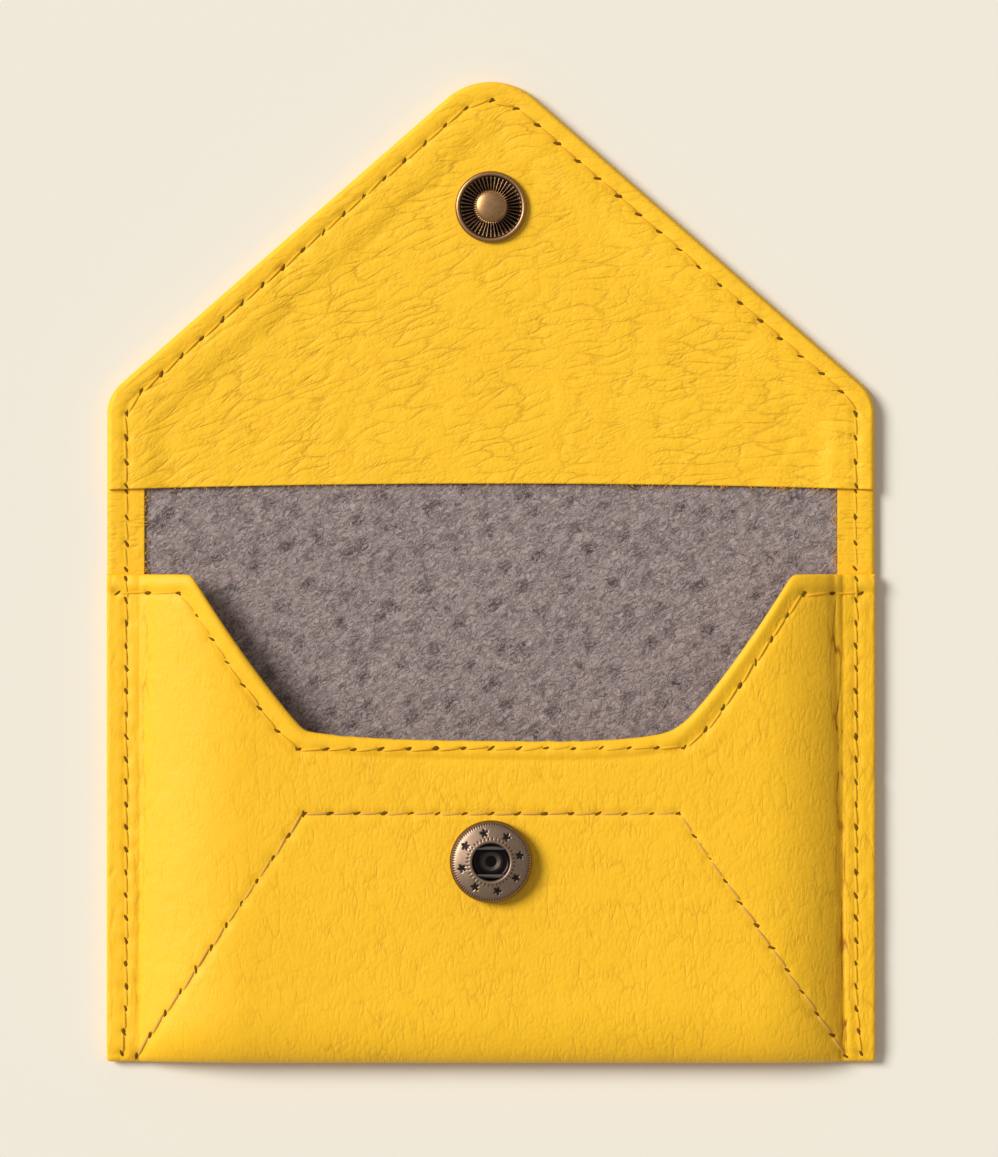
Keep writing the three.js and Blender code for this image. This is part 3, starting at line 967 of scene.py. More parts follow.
@dataclass
class Leather:
    """The yellow leather: back and flap in one, the puffed front, and the flap's facing."""

    plan: Plan
    seams: Seams
    relief: Relief = Relief(11)
    groove: float = 0.15
    dimple: float = 0.2
    facing_inset: float = 0.25
    calm_radius: float = 4.8
    margin_start: float = 52.6
    fine_creases: Relief = Relief(5)
    low_hills: Relief = Relief(3)
    gathers: Relief = Relief(17)
    drift_x: Relief = Relief(31)
    drift_y: Relief = Relief(37)

    def seam_lines(self, x: np.ndarray, y: np.ndarray) -> np.ndarray:
        """Where the stitch lines on the front pull the leather in.

        Args:
            x: Place across, in mm.
            y: Place along, in mm.

        Returns:
            The share of a full groove, from 0 to 1.
        """
        plan, seams, reach = self.plan, self.seams, np.abs(x)
        (top_x, top_y), foot_x = seams.panel_top, seams.panel_foot[0]
        on_slant = (reach > plan.mouth_bottom) & (reach < plan.mouth_top + 3)
        hem = np.abs(plan.mouth(x, seams.hem) - y) / np.where(on_slant, 1.7, 1.0)
        side = np.abs(reach - seams.side)
        run = np.clip((reach - top_x) / (foot_x - top_x), 0, 1)
        panel = np.where(reach < top_x, np.abs(y - top_y), np.abs(y - top_y * (1 - run)) * 0.56)
        return np.maximum(np.maximum(bell(hem, 0.55), bell(side, 0.5)), bell(panel, 0.45))

    def front_height(self, x: np.ndarray, y: np.ndarray) -> np.ndarray:
        """Height of the front's outer face, with its seams but without creases.

        Args:
            x: Place across, in mm.
            y: Place along, in mm.

        Returns:
            The height above the table.
        """
        plan = self.plan
        low = plan.stretch * plan.front_rise(x) / 2
        drop = np.clip(1 - y / low, 0, 1)
        height = plan.front_rise(x) / 2 * (1 + np.sqrt(1 - drop**2))
        hem = plan.mouth(x) - y
        raised = 0.3 * bell(hem - 1.5, 1.1)
        pulled = self.groove * self.seam_lines(x, y) + self.dimple * self.seams.dimples(x, y, False)
        crease = np.where(x > 0, 0.24, 0.1) * bell(np.abs(x) - plan.crease_x(y), 0.45)
        return height + (raised - pulled - crease - self.margin_fall(x)) * ease(y / 1.5)

    def margin_fall(self, x: np.ndarray) -> np.ndarray:
        """How far the sewn margin slopes down towards the side edge."""
        return 0.4 * ease((np.abs(x) - self.margin_start) / 4.5)

    def front(self) -> bpy.types.Object:
        """Makes the front of the pocket, with the bottom fold and the hemmed mouth.

        Returns:
            The piece.
        """
        plan = self.plan
        x = columns(plan.half, 0.5, (51.0, 51.4, 51.8, 52.2, 52.6))
        rise = plan.front_rise(x)
        low = plan.stretch * rise / 2
        rows_y, rows_z = [rise / 2 + 4], [np.full_like(x, 0.2)]
        for angle in np.linspace(0, math.pi, FOLD_STEPS):
            depth = rise / 2 if angle <= math.pi / 2 else low
            rows_y.append(depth * (1 - math.sin(angle)))
            rows_z.append(rise / 2 * (1 - math.cos(angle)))
        folded = len(rows_y)
        high = plan.mouth(x, 4.0)
        for share in np.linspace(0, 1, FRONT_ROWS)[1:]:
            rows_y.append(low + (high - low) * share)
            rows_z.append(rise)
        for inset in (3.6, 3.3, 3.0, 2.8, 2.6, 2.3, 1.9, 1.5, 1.1, 0.8, 0.55, 0.35, 0.2, 0.08, 0.0):
            rows_y.append(plan.mouth(x, inset))
            rows_z.append(rise)
        across, y = grid(x, rows_y)
        z = np.stack(rows_z, 1)
        top = np.arange(y.shape[1])[None, :] >= folded - FOLD_STEPS // 2
        z = np.where(top, self.front_height(across, y), z)
        wrinkles = 0.05 * self.relief.creases(across, y, 2.6, 0.22, 80, 2.4)
        wrinkles = wrinkles + 0.05 * self.relief.creases(across, y, 4.2, 0.3, -8, 2.0)
        swell = 0.12 * self.relief.swell(across, y, 17)
        seam = ease((np.abs(across) - 49.5) / 2.5)
        cracks = 0.14 * seam * self.relief.creases(across, y, 2.2, 0.2, 88, 4.0)
        inner_part = ease((52 - np.abs(across)) / 6)
        z = z + np.where(top, swell * inner_part - wrinkles - cracks, 0)
        body = plan.leather + plan.skived * ease((np.abs(across) - 51.2) / 0.4)
        inset = plan.mouth(across) - y
        body = np.where(inset < 5.5, plan.leather + plan.skived, body) - self.margin_fall(across)
        body = np.where(np.arange(y.shape[1])[None, :] == 0, body - 0.4, body)
        along = np.gradient(np.stack([y, z], 2), axis=1)
        normal = np.stack([-along[..., 1], along[..., 0]], 2)
        normal = normal / np.linalg.norm(normal, axis=2, keepdims=True)
        edge = rounding(plan.half - np.abs(across), 0.6)
        edge = np.maximum(edge, np.where(top, rounding(inset, 0.6), 0))
        under_y, under_z = y - normal[..., 0] * body, z - normal[..., 1] * body
        share = np.clip(edge / 0.62, 0, 1)[..., None] * 0.49
        outer = np.stack([across, y, z], 2)
        under = np.stack([across, under_y, under_z], 2)
        # side weights the seam mark, whose net paints shade along the crease beside the puffed
        # part, stronger on the right, away from the light.
        side = np.where(across > 0, 1.0, 0.3)
        to_right = 0.5 + 0.5 * ease((across + 48) / 30)  # the grain is stronger on the right
        marks = {
            "grain": (0.4 + 0.6 * ease((inset - 2.6) / 0.9)) * to_right,
            "seam": side * bell(np.abs(across) - plan.crease_x(y) - 0.1, 0.8) * ease((70 - y) / 3),
            "flow_mm": np.stack([across, y, z], 2),
        }
        rolled = (under - outer) * share
        return Sheet("front_leather", outer + rolled, under - rolled, marks).build()

    def back_and_flap(self) -> bpy.types.Object:
        """Makes the back and the flap's outer side, with the margins turned in all round.

        Returns:
            The piece.
        """
        plan = self.plan
        x = columns(plan.half, 0.75, (plan.half - plan.turned,))
        low = plan.rise / 2 + 1.2 - np.where(np.abs(x) > 51.6, 2.3, 0)
        top = plan.flap_top(x)
        rows = [low + (top - TOP_RUN - low) * share for share in np.linspace(0, 1, BACK_ROWS)]
        rows += [top - drop for drop in EDGE_ROWS]
        across, y = grid(x, rows)
        inset = np.clip(plan.inset(across, y), 0, None)
        turned = inset < plan.turned
        folds = 0.06 * self.relief.creases(across, y, 2.1, 0.22, 4, 2.5)
        pulled = self.groove * bell(inset - self.seams.inset, 0.5)
        upper = np.where(turned, 2 * plan.leather - folds - pulled, plan.leather)
        edge = rounding(inset, 0.75)
        # Under the rivet's flange the sheet's own face is raised clear of the flange.
        seat = 0.03 + 0.59 * ease((4.3 - np.hypot(across, y - plan.stud_y)) / 0.6)
        outer = np.stack([across, y, upper - edge * turned], 2)
        inner = np.stack([across, y, np.maximum(np.clip(edge, 0, 0.78), seat)], 2)
        marks = {
            "grain": np.full_like(y, 0.8),
            "bend": bell(y - plan.fold, 6.0) * (0.25 + 0.75 * turned),
            "flow_mm": np.stack([across, y, y * 0], 2),
        }
        return Sheet("back_and_flap_leather", outer, inner, marks).build()

    def facing_height(self, x: np.ndarray, y: np.ndarray) -> np.ndarray:
        """Height of the facing's upper side, with its seam but without creases.

        Args:
            x: Place across, in mm.
            y: Place along, in mm.

        Returns:
            The height above the table.
        """
        plan = self.plan
        inset = plan.inset(x, y)
        over_rim = ease((plan.turned + 3.4 - inset) / 3.4)
        height = 2 * plan.leather + plan.suede + plan.skived * over_rim
        pulled = self.groove * bell(inset - self.seams.inset, 0.5)
        pulled = pulled + self.dimple * self.seams.dimples(x, y, True)
        return height - pulled + 0.05 * bell(inset - 1.5, 1.0)

    def facing(self) -> bpy.types.Object:
        """Makes the facing on the flap's inner side, deeply creased.

        Returns:
            The piece.
        """
        plan, margin = self.plan, self.facing_inset
        x = columns(plan.half - margin, 0.5)
        low = plan.facing_edge(x)
        top = plan.flap_top(x * plan.half / (plan.half - margin)) - 0.3
        rows = [low + d for d in (0, 0.06, 0.16, 0.32, 0.55)]
        for share in np.linspace(0, 1, FACING_ROWS):
            rows.append(low + 0.9 + (top - TOP_RUN - low - 0.9) * share)
        rows += [top - drop for drop in EDGE_ROWS]
        across, y = grid(x, rows)
        inset = plan.inset(across, y) - margin
        height = self.facing_height(across, y)
        from_stud = np.hypot(across, y - plan.stud_y)
        calm = ease((from_stud - self.calm_radius) / 2.5)
        deep = 0.11 * self.relief.creases(across, y, 5.2, 0.3, 28, 2.6)
        deep = deep + 0.06 * self.fine_creases.creases(across, y, 3.2, 0.26, 6, 2.4)
        swell = 0.11 * self.relief.swell(across, y, 11)
        swell = swell + 0.04 * self.low_hills.swell(across, y, 4)
        edge = rounding(np.clip(inset, 0, None), 0.55)
        cut = rounding(y - low[:, None], 0.18)
        height = height + calm * (swell - deep) * ease(inset / 1.5)
        # The thread gathers the margin into small puckers that run across it.
        reach = np.abs(across)
        along = reach * math.cos(plan.slope) - y * math.sin(plan.slope) + 40 * np.sign(across)
        puckers = 0.08 * self.gathers.swell(along, 0.5 * inset, 2.4)
        height = height + puckers * bell(inset - 1.5, 1.1) * ease((reach - 4) / 4)
        under = 2 * plan.leather - plan.skived * ease((inset - plan.turned) / 1.6)
        outer = np.stack([across, y, np.maximum(height - np.maximum(edge, cut), under + 0.05)], 2)
        inner = np.stack([across, y, under], 2)
        slant = 0.28 * across - across**2 / 330
        wander_x = 1.3 * self.drift_x.swell(across, y, 8)
        wander_y = 0.8 * self.drift_y.swell(across, y, 7)
        marks = {
            "grain": (0.6 + 0.4 * ease((inset - 2.4) / 1.0)) * calm,
            "flow_mm": np.stack([across + wander_x, y - slant + wander_y, y * 0], 2),
        }
        return Sheet("flap_facing_leather", outer, inner, marks).build()

    def build(self) -> None:
        """Builds all three pieces, gives each its finish and ties the front and the facing to the
        CAD bodies.
        """
        front = self.front()
        front_nets = (
            CreaseNet(0.75, 3.0, 84, 0.16, (0.38, 0.62), 0.015, 0.1),
            CreaseNet(1.9, 3.2, 94, 0.08, (0.46, 0.64), 0.025, 0.16),
            # This net paints shade along the crease beside the puffed part, where the seam mark
            # lets it show.
            CreaseNet(1.2, 8.0, 89, 0.12, (0.38, 0.52), 0.07, 1.0, mark="seam"),
        )
        skin = LeatherFinish("goat leather, pigment coated", front_nets).material()
        finish(front, skin)
        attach(front, Body.POCKET.value)
        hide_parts("shell")
        back = self.back_and_flap()
        back_nets = (
            CreaseNet(1.6, 1.8, 20, 0.12, (0.42, 0.65), 0.03, 0.14),
            CreaseNet(0.8, 5.0, 2, 0.14, (0.38, 0.58), 0.035, 0.2, mark="bend"),
        )
        skin = LeatherFinish("goat leather, pigment coated and folded", back_nets).material()
        finish(back, skin)
        bend_at_fold(back)
        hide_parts("flap_outer")
        facing = self.facing()
        facing_nets = (
            CreaseNet(1.8, 3.6, 0, 0.09, (0.36, 0.6), 0.042, 0.26),
            CreaseNet(1.0, 2.4, 8, 0.12, (0.44, 0.66), 0.024, 0.12),
            CreaseNet(0.55, 1.8, 20, 0.16, (0.4, 0.62), 0.012, 0.08),
        )
        crushed = LeatherFinish("goat leather, pigment coated and crushed", facing_nets, "#FEC428")
        finish(facing, crushed.material())
        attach(facing, Body.FLAP.value)
        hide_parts("flap_facing")


@dataclass
class Lining:
    """The suede sheet that runs from the pocket's floor, over the fold and under the facing."""

    plan: Plan
    relief: Relief = Relief(23)
    low: float = 5.7
    clearance: float = 0.05

    def build(self, skin: bpy.types.Material) -> None:
        """Builds the lining and bakes its placement into its mesh.

        Args:
            skin: Material of the suede.
        """
        plan = self.plan
        x = columns(plan.half - plan.turned - self.clearance, 0.9)
        top = plan.flap_top(x, plan.turned + self.clearance)
        shares = np.linspace(0, 1, LINING_ROWS)
        rows = [self.low + (top - self.low) * share for share in shares]
        across, y = grid(x, rows)
        shown = ease((plan.facing_low - y) / 2)
        height = plan.leather + plan.suede + shown * 0.05 * self.relief.swell(across, y, 6)
        outer = np.stack([across, y, height], 2)
        inner = np.stack([across, y, np.full_like(y, plan.leather)], 2)
        made = Sheet("suede_lining", outer, inner).build()
        finish(made, skin)
        bend_at_fold(made)
        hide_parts("pocket_lining", "flap_lining")


def tube(line: np.ndarray, radius: np.ndarray, sides: int = 8, flatness: float = 1.0) -> Faces:
    """A closed tube round a line of points.

    Args:
        line: Centre points in mm.
        radius: Radius at each centre point.
        sides: Corners of the section, an even number.
        flatness: Height of the section as a share of its width.

    Returns:
        Points and four-cornered faces.
    """
    ahead = np.gradient(line, axis=0)
    ahead = ahead / np.linalg.norm(ahead, axis=1, keepdims=True)
    side = np.cross(ahead, np.array([0, 0, 1.0]))
    side = side / np.linalg.norm(side, axis=1, keepdims=True)
    up = np.cross(side, ahead)
    turns = np.linspace(0, 2 * math.pi, sides, endpoint=False)
    ring = np.cos(turns)[None, :, None] * side[:, None, :]
    ring = ring + flatness * np.sin(turns)[None, :, None] * up[:, None, :]
    points = (line[:, None, :] + ring * radius[:, None, None]).reshape(-1, 3)
    index = np.arange(len(points)).reshape(-1, sides)
    after = np.roll(index, -1, axis=1)
    walls = np.stack([after[:-1], index[:-1], index[1:], after[1:]], 2).reshape(-1, 4)
    ends = []
    for k in range(sides // 2 - 1):
        a, b, c, d = k, k + 1, sides - 2 - k, sides - 1 - k
        ends.append(index[0][[a, b, c, d]])
        ends.append(index[-1][[d, c, b, a]])
    return points, np.concatenate([walls, np.array(ends)])


def joined(name: str, parts: list[Faces]) -> bpy.types.Object:
    """Makes one mesh from several.

    Args:
        name: Name of the object.
        parts: Points and faces of each part.

    Returns:
        The new object.
    """
    points, faces, offset = [], [], 0
    for part_points, part_faces in parts:
        points.append(part_points)
        faces.append(part_faces + offset)
        offset += len(part_points)
    return mesh_object(name, np.concatenate(points), np.concatenate(faces))


@dataclass
class Stitching:
    """Lockstitch seams: thread that dips into a needle hole at each end of a stitch."""

    leather: Leather
    thread: float = 0.2
    steps: int = 9

    def surface(self, seam: SeamLine, x: np.ndarray, y: np.ndarray) -> np.ndarray:
        """Height of the leather under a seam.

        Args:
            seam: The seam, which says which face it lies on.
            x: Place across, in mm.
            y: Place along, in mm.

        Returns:
            The height above the table.
        """
        plan = self.leather.plan
        if seam.on_facing:
            return self.leather.facing_height(x, y)
        if seam.body is None:
            return np.full_like(x, 2 * plan.leather - self.leather.groove)
        return self.leather.front_height(x, y)

    def sew(self, seam: SeamLine, thread: bpy.types.Material, hole: bpy.types.Material) -> None:
        """Makes the thread and the needle holes of one seam.

        Args:
            seam: The line to sew.
            thread: Material of the thread.
            hole: Material inside the holes, painted dark as their shade.
        """
        rng = np.random.default_rng(len(seam.corners) * 7 + len(seam.name))
        threads, holes = [], []
        share = np.linspace(0, 1, self.steps)
        near_end = np.abs(2 * share - 1)
        for start, end in self.leather.seams.stitches(seam):
            ahead = (end - start) / np.linalg.norm(end - start)
            beside = np.array([-ahead[1], ahead[0]])
            sideways = (share - 0.5) * rng.normal(0.3, 0.12) + rng.normal(0, 0.06)
            flat = start + np.outer(share, end - start) + np.outer(sideways, beside)
            lift = 0.02 + 0.06 * np.sin(share * math.pi) - 0.4 * near_end**6
            height = self.surface(seam, flat[:, 0], flat[:, 1]) + lift
            radius = self.thread * np.sqrt(1 - 0.5 * near_end**4)
            threads.append(tube(np.column_stack([flat, height]), radius, 8, 0.5))
            # Each needle hole is a dark tube that paints the shade inside it.
            for place, toward in ((start, ahead), (end, -ahead)):
                across = np.linspace(-0.5, 0.5, 5)
                middle = place + toward * 0.1 + rng.normal(0, 0.05, 2)
                lean = ahead * 0.85 + beside * rng.normal(0.4, 0.15)
                flat = middle + np.outer(across, lean)
                height = self.surface(seam, flat[:, 0], flat[:, 1]) - 0.04
                width = np.sqrt(np.clip(1.1 - (across / 0.52) ** 2, 0.05, None))
                radius = rng.normal(0.2, 0.03) * width
                holes.append(tube(np.column_stack([flat, height]), radius))
        for kind, material, parts in (("thread", thread, threads), ("holes", hole, holes)):
            made = joined(f"{seam.name}_{kind}", parts)
            finish(made, material)
            if seam.body is None:
                bend_at_fold(made)
            else:
                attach(made, seam.body.value)

    def build(self) -> None:
        """Sews every seam, with gold thread on the panel and yellow thread elsewhere."""
        dyed = "polyester thread, dyed to the leather"
        yellow = PlainFinish(dyed, "#EFB62C", 0.8, 0.12).material()
        gold = PlainFinish("polyester thread, gold", "#DCA848", 0.8, 0.12).material()
        # The holes' dark brown is painted shade.
        hole = PlainFinish("needle hole, painted shade", "#76500F", 0.9, 0.1).material()
        for seam in self.leather.seams.lines():
            self.sew(seam, gold if seam.name == "panel_seam" else yellow, hole)


@dataclass
class Fuzz:
    """Loose fibres along the cut edges over the suede, thicker on the facing's right."""

    plan: Plan
    facing: int = 70
    strip: int = 26
    strip_top: float = 84.6

    def fibre(self, root: np.ndarray, away: np.ndarray, rng: np.random.Generator) -> Faces:
        """One short curled fibre.

        Args:
            root: Where it leaves the cut edge, in mm.
            away: Unit direction in plan, away from the leather.
            rng: Source of its length and curl.

        Returns:
            Points and faces.
        """
        share = np.linspace(0, 1, 6)[:, None]
        length, curl = rng.uniform(0.25, 0.95), rng.normal(0, 0.9)
        aside = np.array([-away[1], away[0], 0])
        sway = rng.normal(0, 0.35) * share + curl * share**2 * length
        line = root + share * length * away + aside * sway
        line = line + np.array([0, 0, 1]) * (0.25 * np.sin(share * math.pi) - 0.35 * share)
        return tube(line, np.linspace(0.06, 0.035, 6), 4)

    def build(self) -> None:
        """Hangs fibres from the facing's edge, and along the inner edges of the side strips."""
        rng = np.random.default_rng(41)
        plan, on_flap, on_strips = self.plan, [], []
        for _ in range(self.facing):
            x = 50 - 100 * rng.random() ** 1.7
            root = np.array([x, plan.facing_edge(x) + 0.05, 1.75])
            on_flap.append(self.fibre(root, np.array([0, -1.0, 0]), rng))
        for side in (-1, 1):
            for _ in range(self.strip):
                height = rng.uniform(plan.ear, self.strip_top)
                root = np.array([side * (plan.half - plan.turned), height, 1.5])
                on_strips.append(self.fibre(root, np.array([-side * 1.0, 0, 0]), rng))
        raw = PlainFinish("leather fibre, raw", "#C9963A", 0.8).material()
        made = joined("facing_fibres", on_flap)
        finish(made, raw)
        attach(made, Body.FLAP.value)
        made = joined("strip_fibres", on_strips)
        finish(made, raw)
        bend_at_fold(made)


Stamped = tuple[np.ndarray, np.ndarray]  # lift in mm, and darkness from 0 to 1
Stamp = Callable[[np.ndarray, np.ndarray, np.ndarray], Stamped]  # from radius, angle and height


@dataclass
class Turned:
    """A turned metal piece, built on a fine ring of points so that it can be stamped."""

    name: str
    centre: tuple[float, float, float]
    segments: int = 360

    def build(self, profile: list[tuple[float, float]], stamp: Stamp) -> bpy.types.Object:
        """Turns a profile and stamps it.

        Args:
            profile: Radius and height pairs in mm, running up the outside.
            stamp: What the stamping does at each point.

        Returns:
            The new object, with its darkness in the attribute that the metal finish reads.
        """
        line = np.array(profile)
        turns = np.linspace(0, 2 * math.pi, self.segments, endpoint=False)
        radius = np.repeat(line[:, :1], self.segments, 1)
        height = np.repeat(line[:, 1:], self.segments, 1)
        angle = np.repeat(turns[None, :], len(line), 0)
        lift, hollow = stamp(radius, angle, height)
        points = np.stack(
            [
                self.centre[0] + radius * np.cos(angle),
                self.centre[1] + radius * np.sin(angle),
                self.centre[2] + height + lift,
            ],
            2,
        ).reshape(-1, 3)
        faces = []
        index = np.arange(len(line) * self.segments).reshape(len(line), self.segments)
        for here, above in zip(index, index[1:]):
            faces.append(np.stack([here, np.roll(here, -1), np.roll(above, -1), above], 1))
        return mesh_object(self.name, points, np.concatenate(faces), {"hollow": hollow.reshape(-1)})


def smooth_profile(corners: list[tuple[float, float]], step: float) -> list[tuple[float, float]]:
    """Rounds a profile by Chaikin's corner cutting and divides its long runs.

    Args:
        corners: Radius and height pairs.
        step: Longest run to leave, in mm.

    Returns:
        The finer profile, with the same ends.
    """
    line = [np.array(c, dtype=float) for c in corners]
    for _ in range(2):
        cut = [line[0]]
        for a, b in zip(line, line[1:]):
            cut += [a * 0.75 + b * 0.25, a * 0.25 + b * 0.75]
        line = cut + [line[-1]]
    fine = [line[0]]
    for a, b in zip(line, line[1:]):
        parts = max(1, math.ceil(np.linalg.norm(b - a) / step))
        fine += [a + (b - a) * k / parts for k in range(1, parts + 1)]
    return [(float(p[0]), float(p[1])) for p in fine]


@dataclass
class Snap:
    """The visible parts of the spring snap, at the places that the CAD gives them."""

    ribs: int = 44
    beads: int = 92
    dots: int = 38
    stars: int = 8
    star_radius: float = 4.34
    star_size: float = 0.78
    star_turn: float = 12.7
    bead_radius: float = 5.62
    dot_radius: float = 3.42

    def place(self, node: str) -> tuple[float, float, float]:
        """Finds where a turned piece stands.

        Args:
            node: Name of its CAD node.

        Returns:
            The node's centre in plan and its lowest height, in mm.
        """
        low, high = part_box(node)
        return (
            (low[0] + high[0]) / 2 / MM,
            (low[1] + high[1]) / 2 / MM + OPEN_HEIGHT / 2,
            low[2] / MM,
        )

    def star_depth(self, radius: np.ndarray, angle: np.ndarray) -> np.ndarray:
        """Finds the points that lie in one of the stamped stars.

        Args:
            radius: Distance from the socket's axis, in mm.
            angle: Angle round it, in radians.

        Returns:
            The share of the full depth, from 0 to 1.
        """
        step = 2 * math.pi / self.stars
        local = (angle - math.radians(self.star_turn) + step / 2) % step - step / 2
        x, y = radius * np.sin(local), radius * np.cos(local) - self.star_radius
        out, turn = np.hypot(x, y), np.arctan2(x, y)
        point = np.abs((turn / (2 * math.pi / 5)) % 1 - 0.5) * 2
        limit = self.star_size * (0.5 + 0.5 * point)
        return ease((limit - out) / 0.14)

    def stud(self) -> bpy.types.Object:
        """Makes the stud, with its rolled rim, ribbed dish and rounded head.

        Returns:
            The piece.
        """
        corners = [
            (1.5, 0.0), (5.1, 0.0), (5.32, 0.3), (5.3, 0.75), (5.0, 0.98), (4.65, 0.9),
            (4.45, 0.55), (4.2, 0.45), (2.4, 0.4), (1.75, 0.5), (1.65, 0.9), (1.65, 2.2),
            (1.65, 2.34), (1.72, 2.42), (2.2, 2.62), (2.26, 2.7), (2.14, 2.88), (1.7, 3.05),
            (1.1, 3.16), (0.5, 3.2), (0.02, 3.2),
        ]

        def stamp(radius: np.ndarray, angle: np.ndarray, height: np.ndarray) -> Stamped:
            """Ribs the dish and darkens it, paints shade on the neck under the head, and darkens
            the outer edge.

            Args:
                radius: Distance from the axis, in mm.
                angle: Angle round it, in radians.
                height: Height in the profile, in mm.

            Returns:
                The lift in mm and the darkness from 0 to 1.
            """
            dish = ease((radius - 2.2) / 0.5) * ease((4.55 - radius) / 0.3)
            dish = dish * (height < 0.7) * (height > 0.2)
            wave = np.cos(angle * self.ribs)
            hollow = dish * (0.7 - 0.26 * wave)
            # Painted shade on the neck, in the recess under the head.
            hollow = np.maximum(hollow, ease((2.3 - radius) / 0.4) * (height < 2.3))
            border = 0.5 * ease((radius - 5.1) / 0.15)
            return dish * 0.16 * wave, np.maximum(hollow, border)

        profile = smooth_profile(corners, 0.2)
        made = Turned("snap_stud_brass", self.place("snap_stud")).build(profile, stamp)
        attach(made, Body.FLAP.value)
        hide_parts("snap_stud")
        return made

    def socket(self) -> bpy.types.Object:
        """Makes the socket, a dome with beads, stars and dots round its hole.

        Returns:
            The piece.
        """
        corners = [
            (0.02, 0.0), (5.9, 0.0), (6.08, 0.2), (6.1, 1.3), (6.04, 1.75), (5.86, 2.1), (5.5, 2.4),
            (5.0, 2.6), (4.0, 2.82), (3.3, 2.96), (3.05, 3.0), (2.86, 2.96), (2.75, 2.75),
            (2.75, 2.45), (4.2, 2.4), (4.25, 1.75), (2.8, 1.7), (2.75, 1.2), (2.75, 0.4),
            (1.5, 0.36), (0.02, 0.36),
        ]

        def stamp(radius: np.ndarray, angle: np.ndarray, height: np.ndarray) -> Stamped:
            """Raises the beads, sinks the stars and dots, paints shade in the hole, and darkens the
            edge.

            Args:
                radius: Distance from the axis, in mm.
                angle: Angle round it, in radians.
                height: Height in the profile, in mm.

            Returns:
                The lift in mm and the darkness from 0 to 1.
            """
            outside = (height > 1.5) & (radius > 2.95) & (height > 2.42 - (radius - 3) * 0.42)
            bead = bell(radius - self.bead_radius, 0.2) * outside
            beads = bead * np.cos(angle * self.beads)
            dot = bell(radius - self.dot_radius, 0.16) * outside
            dots = dot * np.clip(0.2 + np.cos(angle * self.dots), 0, 1)
            star = self.star_depth(radius, angle) * outside
            lift = 0.06 * beads - 0.06 * dots - 0.12 * star
            between = bead * (1 - np.cos(angle * self.beads)) / 2
            hollow = 0.8 * between + 0.75 * dots + 0.85 * star
            border = 0.55 * ease((radius - 5.8) / 0.15) * (height > 0.5)
            # Painted shade inside the hole.
            inside = ease((2.85 - radius) / 0.2) * (height < 2.75)
            return lift, np.maximum(np.maximum(hollow, border), inside)

        profile = smooth_profile(corners, 0.2)
        made = Turned("snap_socket_brass", self.place("snap_socket"), 552).build(profile, stamp)
        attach(made, Body.POCKET.value)
        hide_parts("snap_socket")
        return made

    def post(self) -> bpy.types.Object:
        """Makes the rivet that holds the stud: a hollow post on the flange outside the flap.

        Returns:
            The piece.
        """
        corners = [
            (0.02, 0.45), (0.7, 0.45), (0.84, 0.3), (0.9, 0.14), (1.15, 0.07), (2.6, 0.06),
            (4.1, 0.0), (4.7, 0.0), (4.98, 0.1), (5.0, 0.4), (4.8, 0.5), (1.5, 0.5), (1.5, 4.2),
            (0.02, 4.25),
        ]

        def stamp(radius: np.ndarray, angle: np.ndarray, height: np.ndarray) -> Stamped:
            """Paints shade in the bore and darkens the flange's edge."""
            # Painted shade inside the bore.
            bore = ease((1.1 - radius) / 0.25) * (height < 0.6)
            rim = 0.45 * ease((radius - 4.7) / 0.2)
            return radius * 0, np.maximum(bore, rim)

        profile = smooth_profile(corners, 0.3)
        made = Turned("stud_post_brass", self.place("stud_post"), 180).build(profile, stamp)
        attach(made, Body.FLAP.value)
        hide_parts("stud_post")
        return made

    def build(self, nodes: dict) -> None:
        """Makes both halves and finishes the CAD's own hidden hardware.

        Args:
            nodes: The CAD nodes by name.
        """
        brass = MetalFinish("brass, antiqued and buffed", bright="#B98E60", antiquing_and_painted_shade=True).material()
        finish(self.stud(), brass)
        tumbled = "brass, antiqued and tumbled"
        matt = MetalFinish(tumbled, bright="#A38871", roughness=0.46, antiquing_and_painted_shade=True)
        finish(self.socket(), matt.material())
        finish(self.post(), brass)
        # The cap shows only at the bottom of the socket's hole, so it is painted dark as the hole's
        # shade.
        painted_hole_shade = MetalFinish("brass, dark oxide", bright="#5B5048", dark="#221D1B").material()
        finish(nodes["socket_cap"], painted_hole_shade)
        steel = MetalFinish("steel wire, drawn", bright="#8F8B86", dark="#4A4744", roughness=0.28)
        finish(nodes["snap_spring"], steel.material())


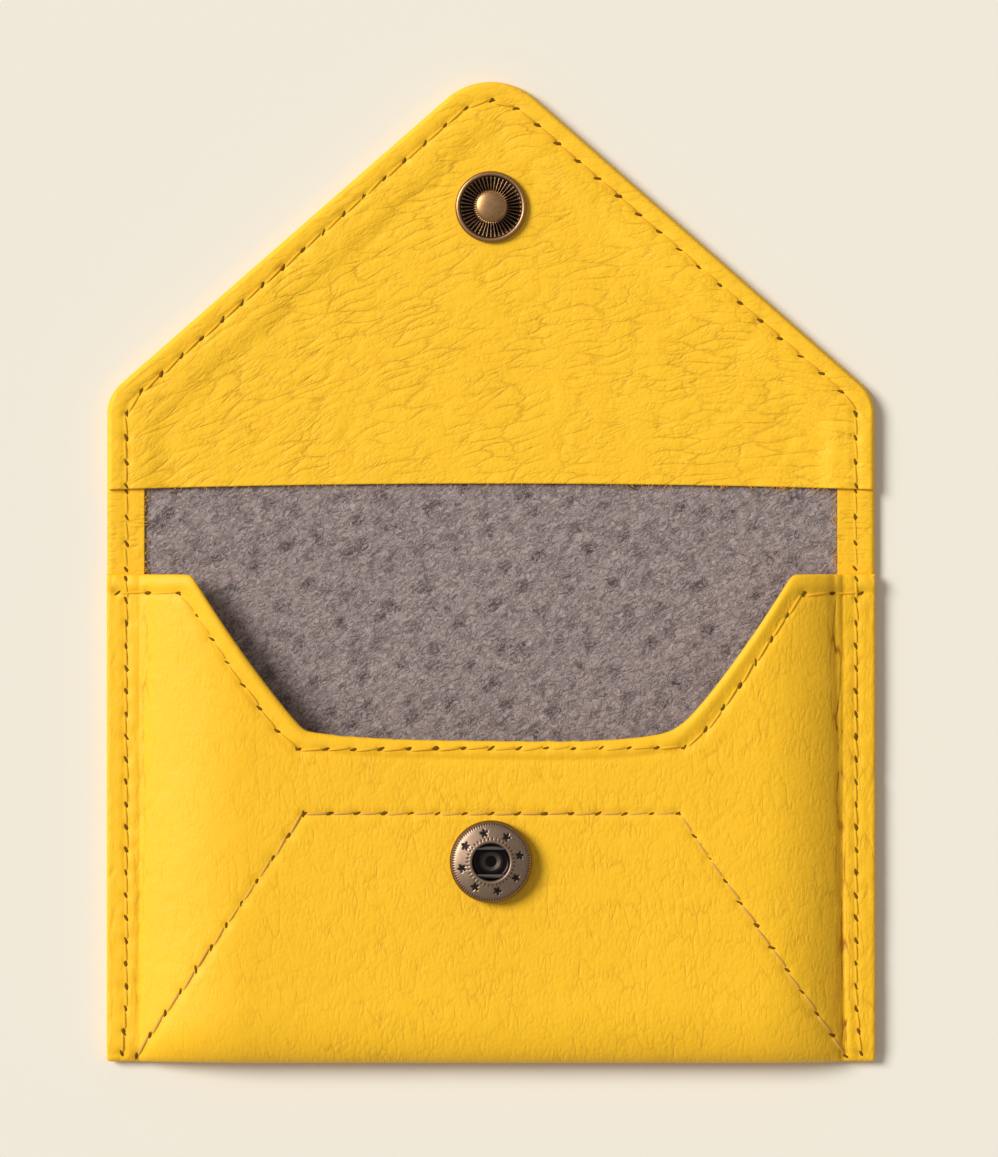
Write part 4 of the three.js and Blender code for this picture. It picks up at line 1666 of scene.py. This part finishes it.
@dataclass
class Studio:
    """The pale table, soft light from the upper left and a camera straight above."""

    table: str = "#ECE5D5"
    scale_px: float = 6.745
    frame_px: tuple[int, int] = (998, 1157)
    centre_px: tuple[float, float] = (491.0, 571.5)
    distance: float = 900.0
    focus: float = 4.0
    sensor: float = 36.0
    key_power: float = 3.3
    key_spread: float = math.radians(26)
    key_from: tuple[float, float, float] = (-1.12, 0.5, 1.08)
    fill: float = 0.34
    table_reach: float = 3.0

    def camera(self) -> None:
        """Looks straight down, set so that the wallet fills the frame as in the photograph."""
        data = bpy.data.cameras.new("camera")
        wide, tall = self.frame_px
        data.sensor_width = self.sensor
        data.lens = self.sensor * (self.distance - self.focus) / (tall / self.scale_px)
        data.clip_start, data.clip_end = 0.05, 5
        made = bpy.data.objects.new("camera", data)
        x = (wide / 2 - self.centre_px[0]) / self.scale_px
        y = (self.centre_px[1] - tall / 2) / self.scale_px
        made.location = (x * MM, y * MM, self.distance * MM)
        bpy.context.scene.collection.objects.link(made)
        bpy.context.scene.camera = made

    def light(self) -> None:
        """A broad key light from the upper left, with an even, weaker fill."""
        sun = bpy.data.lights.new("key", "SUN")
        sun.energy = self.key_power
        sun.angle = self.key_spread
        key = bpy.data.objects.new("key", sun)
        key.rotation_euler = Vector(self.key_from).to_track_quat("Z", "Y").to_euler()
        bpy.context.scene.collection.objects.link(key)
        world = bpy.data.worlds.new("room")
        bpy.context.scene.world = world
        world.use_nodes = True
        background = world.node_tree.nodes["Background"]
        background.inputs["Color"].default_value = linear("#FFFFFF")
        background.inputs["Strength"].default_value = self.fill
        bpy.context.scene.view_settings.view_transform = "Standard"

    def floor(self) -> None:
        """A plain table top under the wallet."""
        side = self.table_reach
        corners = [[-side, -side, 0], [side, -side, 0], [side, side, 0], [-side, side, 0]]
        points = np.array(corners) / MM
        points = points + np.array([0, OPEN_HEIGHT / 2, -0.02])
        made = mesh_object("table_top", points, np.array([[0, 1, 2, 3]]))
        made.data.materials.append(PlainFinish("painted table", self.table, 0.9).material())


def main() -> None:
    """Builds the wallet's looks in order."""
    logging.basicConfig(level=logging.INFO, format="%(message)s")
    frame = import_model()
    plan = Plan()
    studio = Studio()
    studio.camera()
    studio.light()
    studio.floor()
    LOG.info("leather")
    leather = Leather(plan, Seams(plan))
    leather.build()
    LOG.info("lining")
    Lining(plan).build(SuedeFinish().material())
    LOG.info("stitching")
    Stitching(leather).build()
    Fuzz(plan).build()
    LOG.info("snap")
    Snap().build(frame["nodes"])
    LOG.info("checking sizes")


if __name__ == "__main__":
    main()
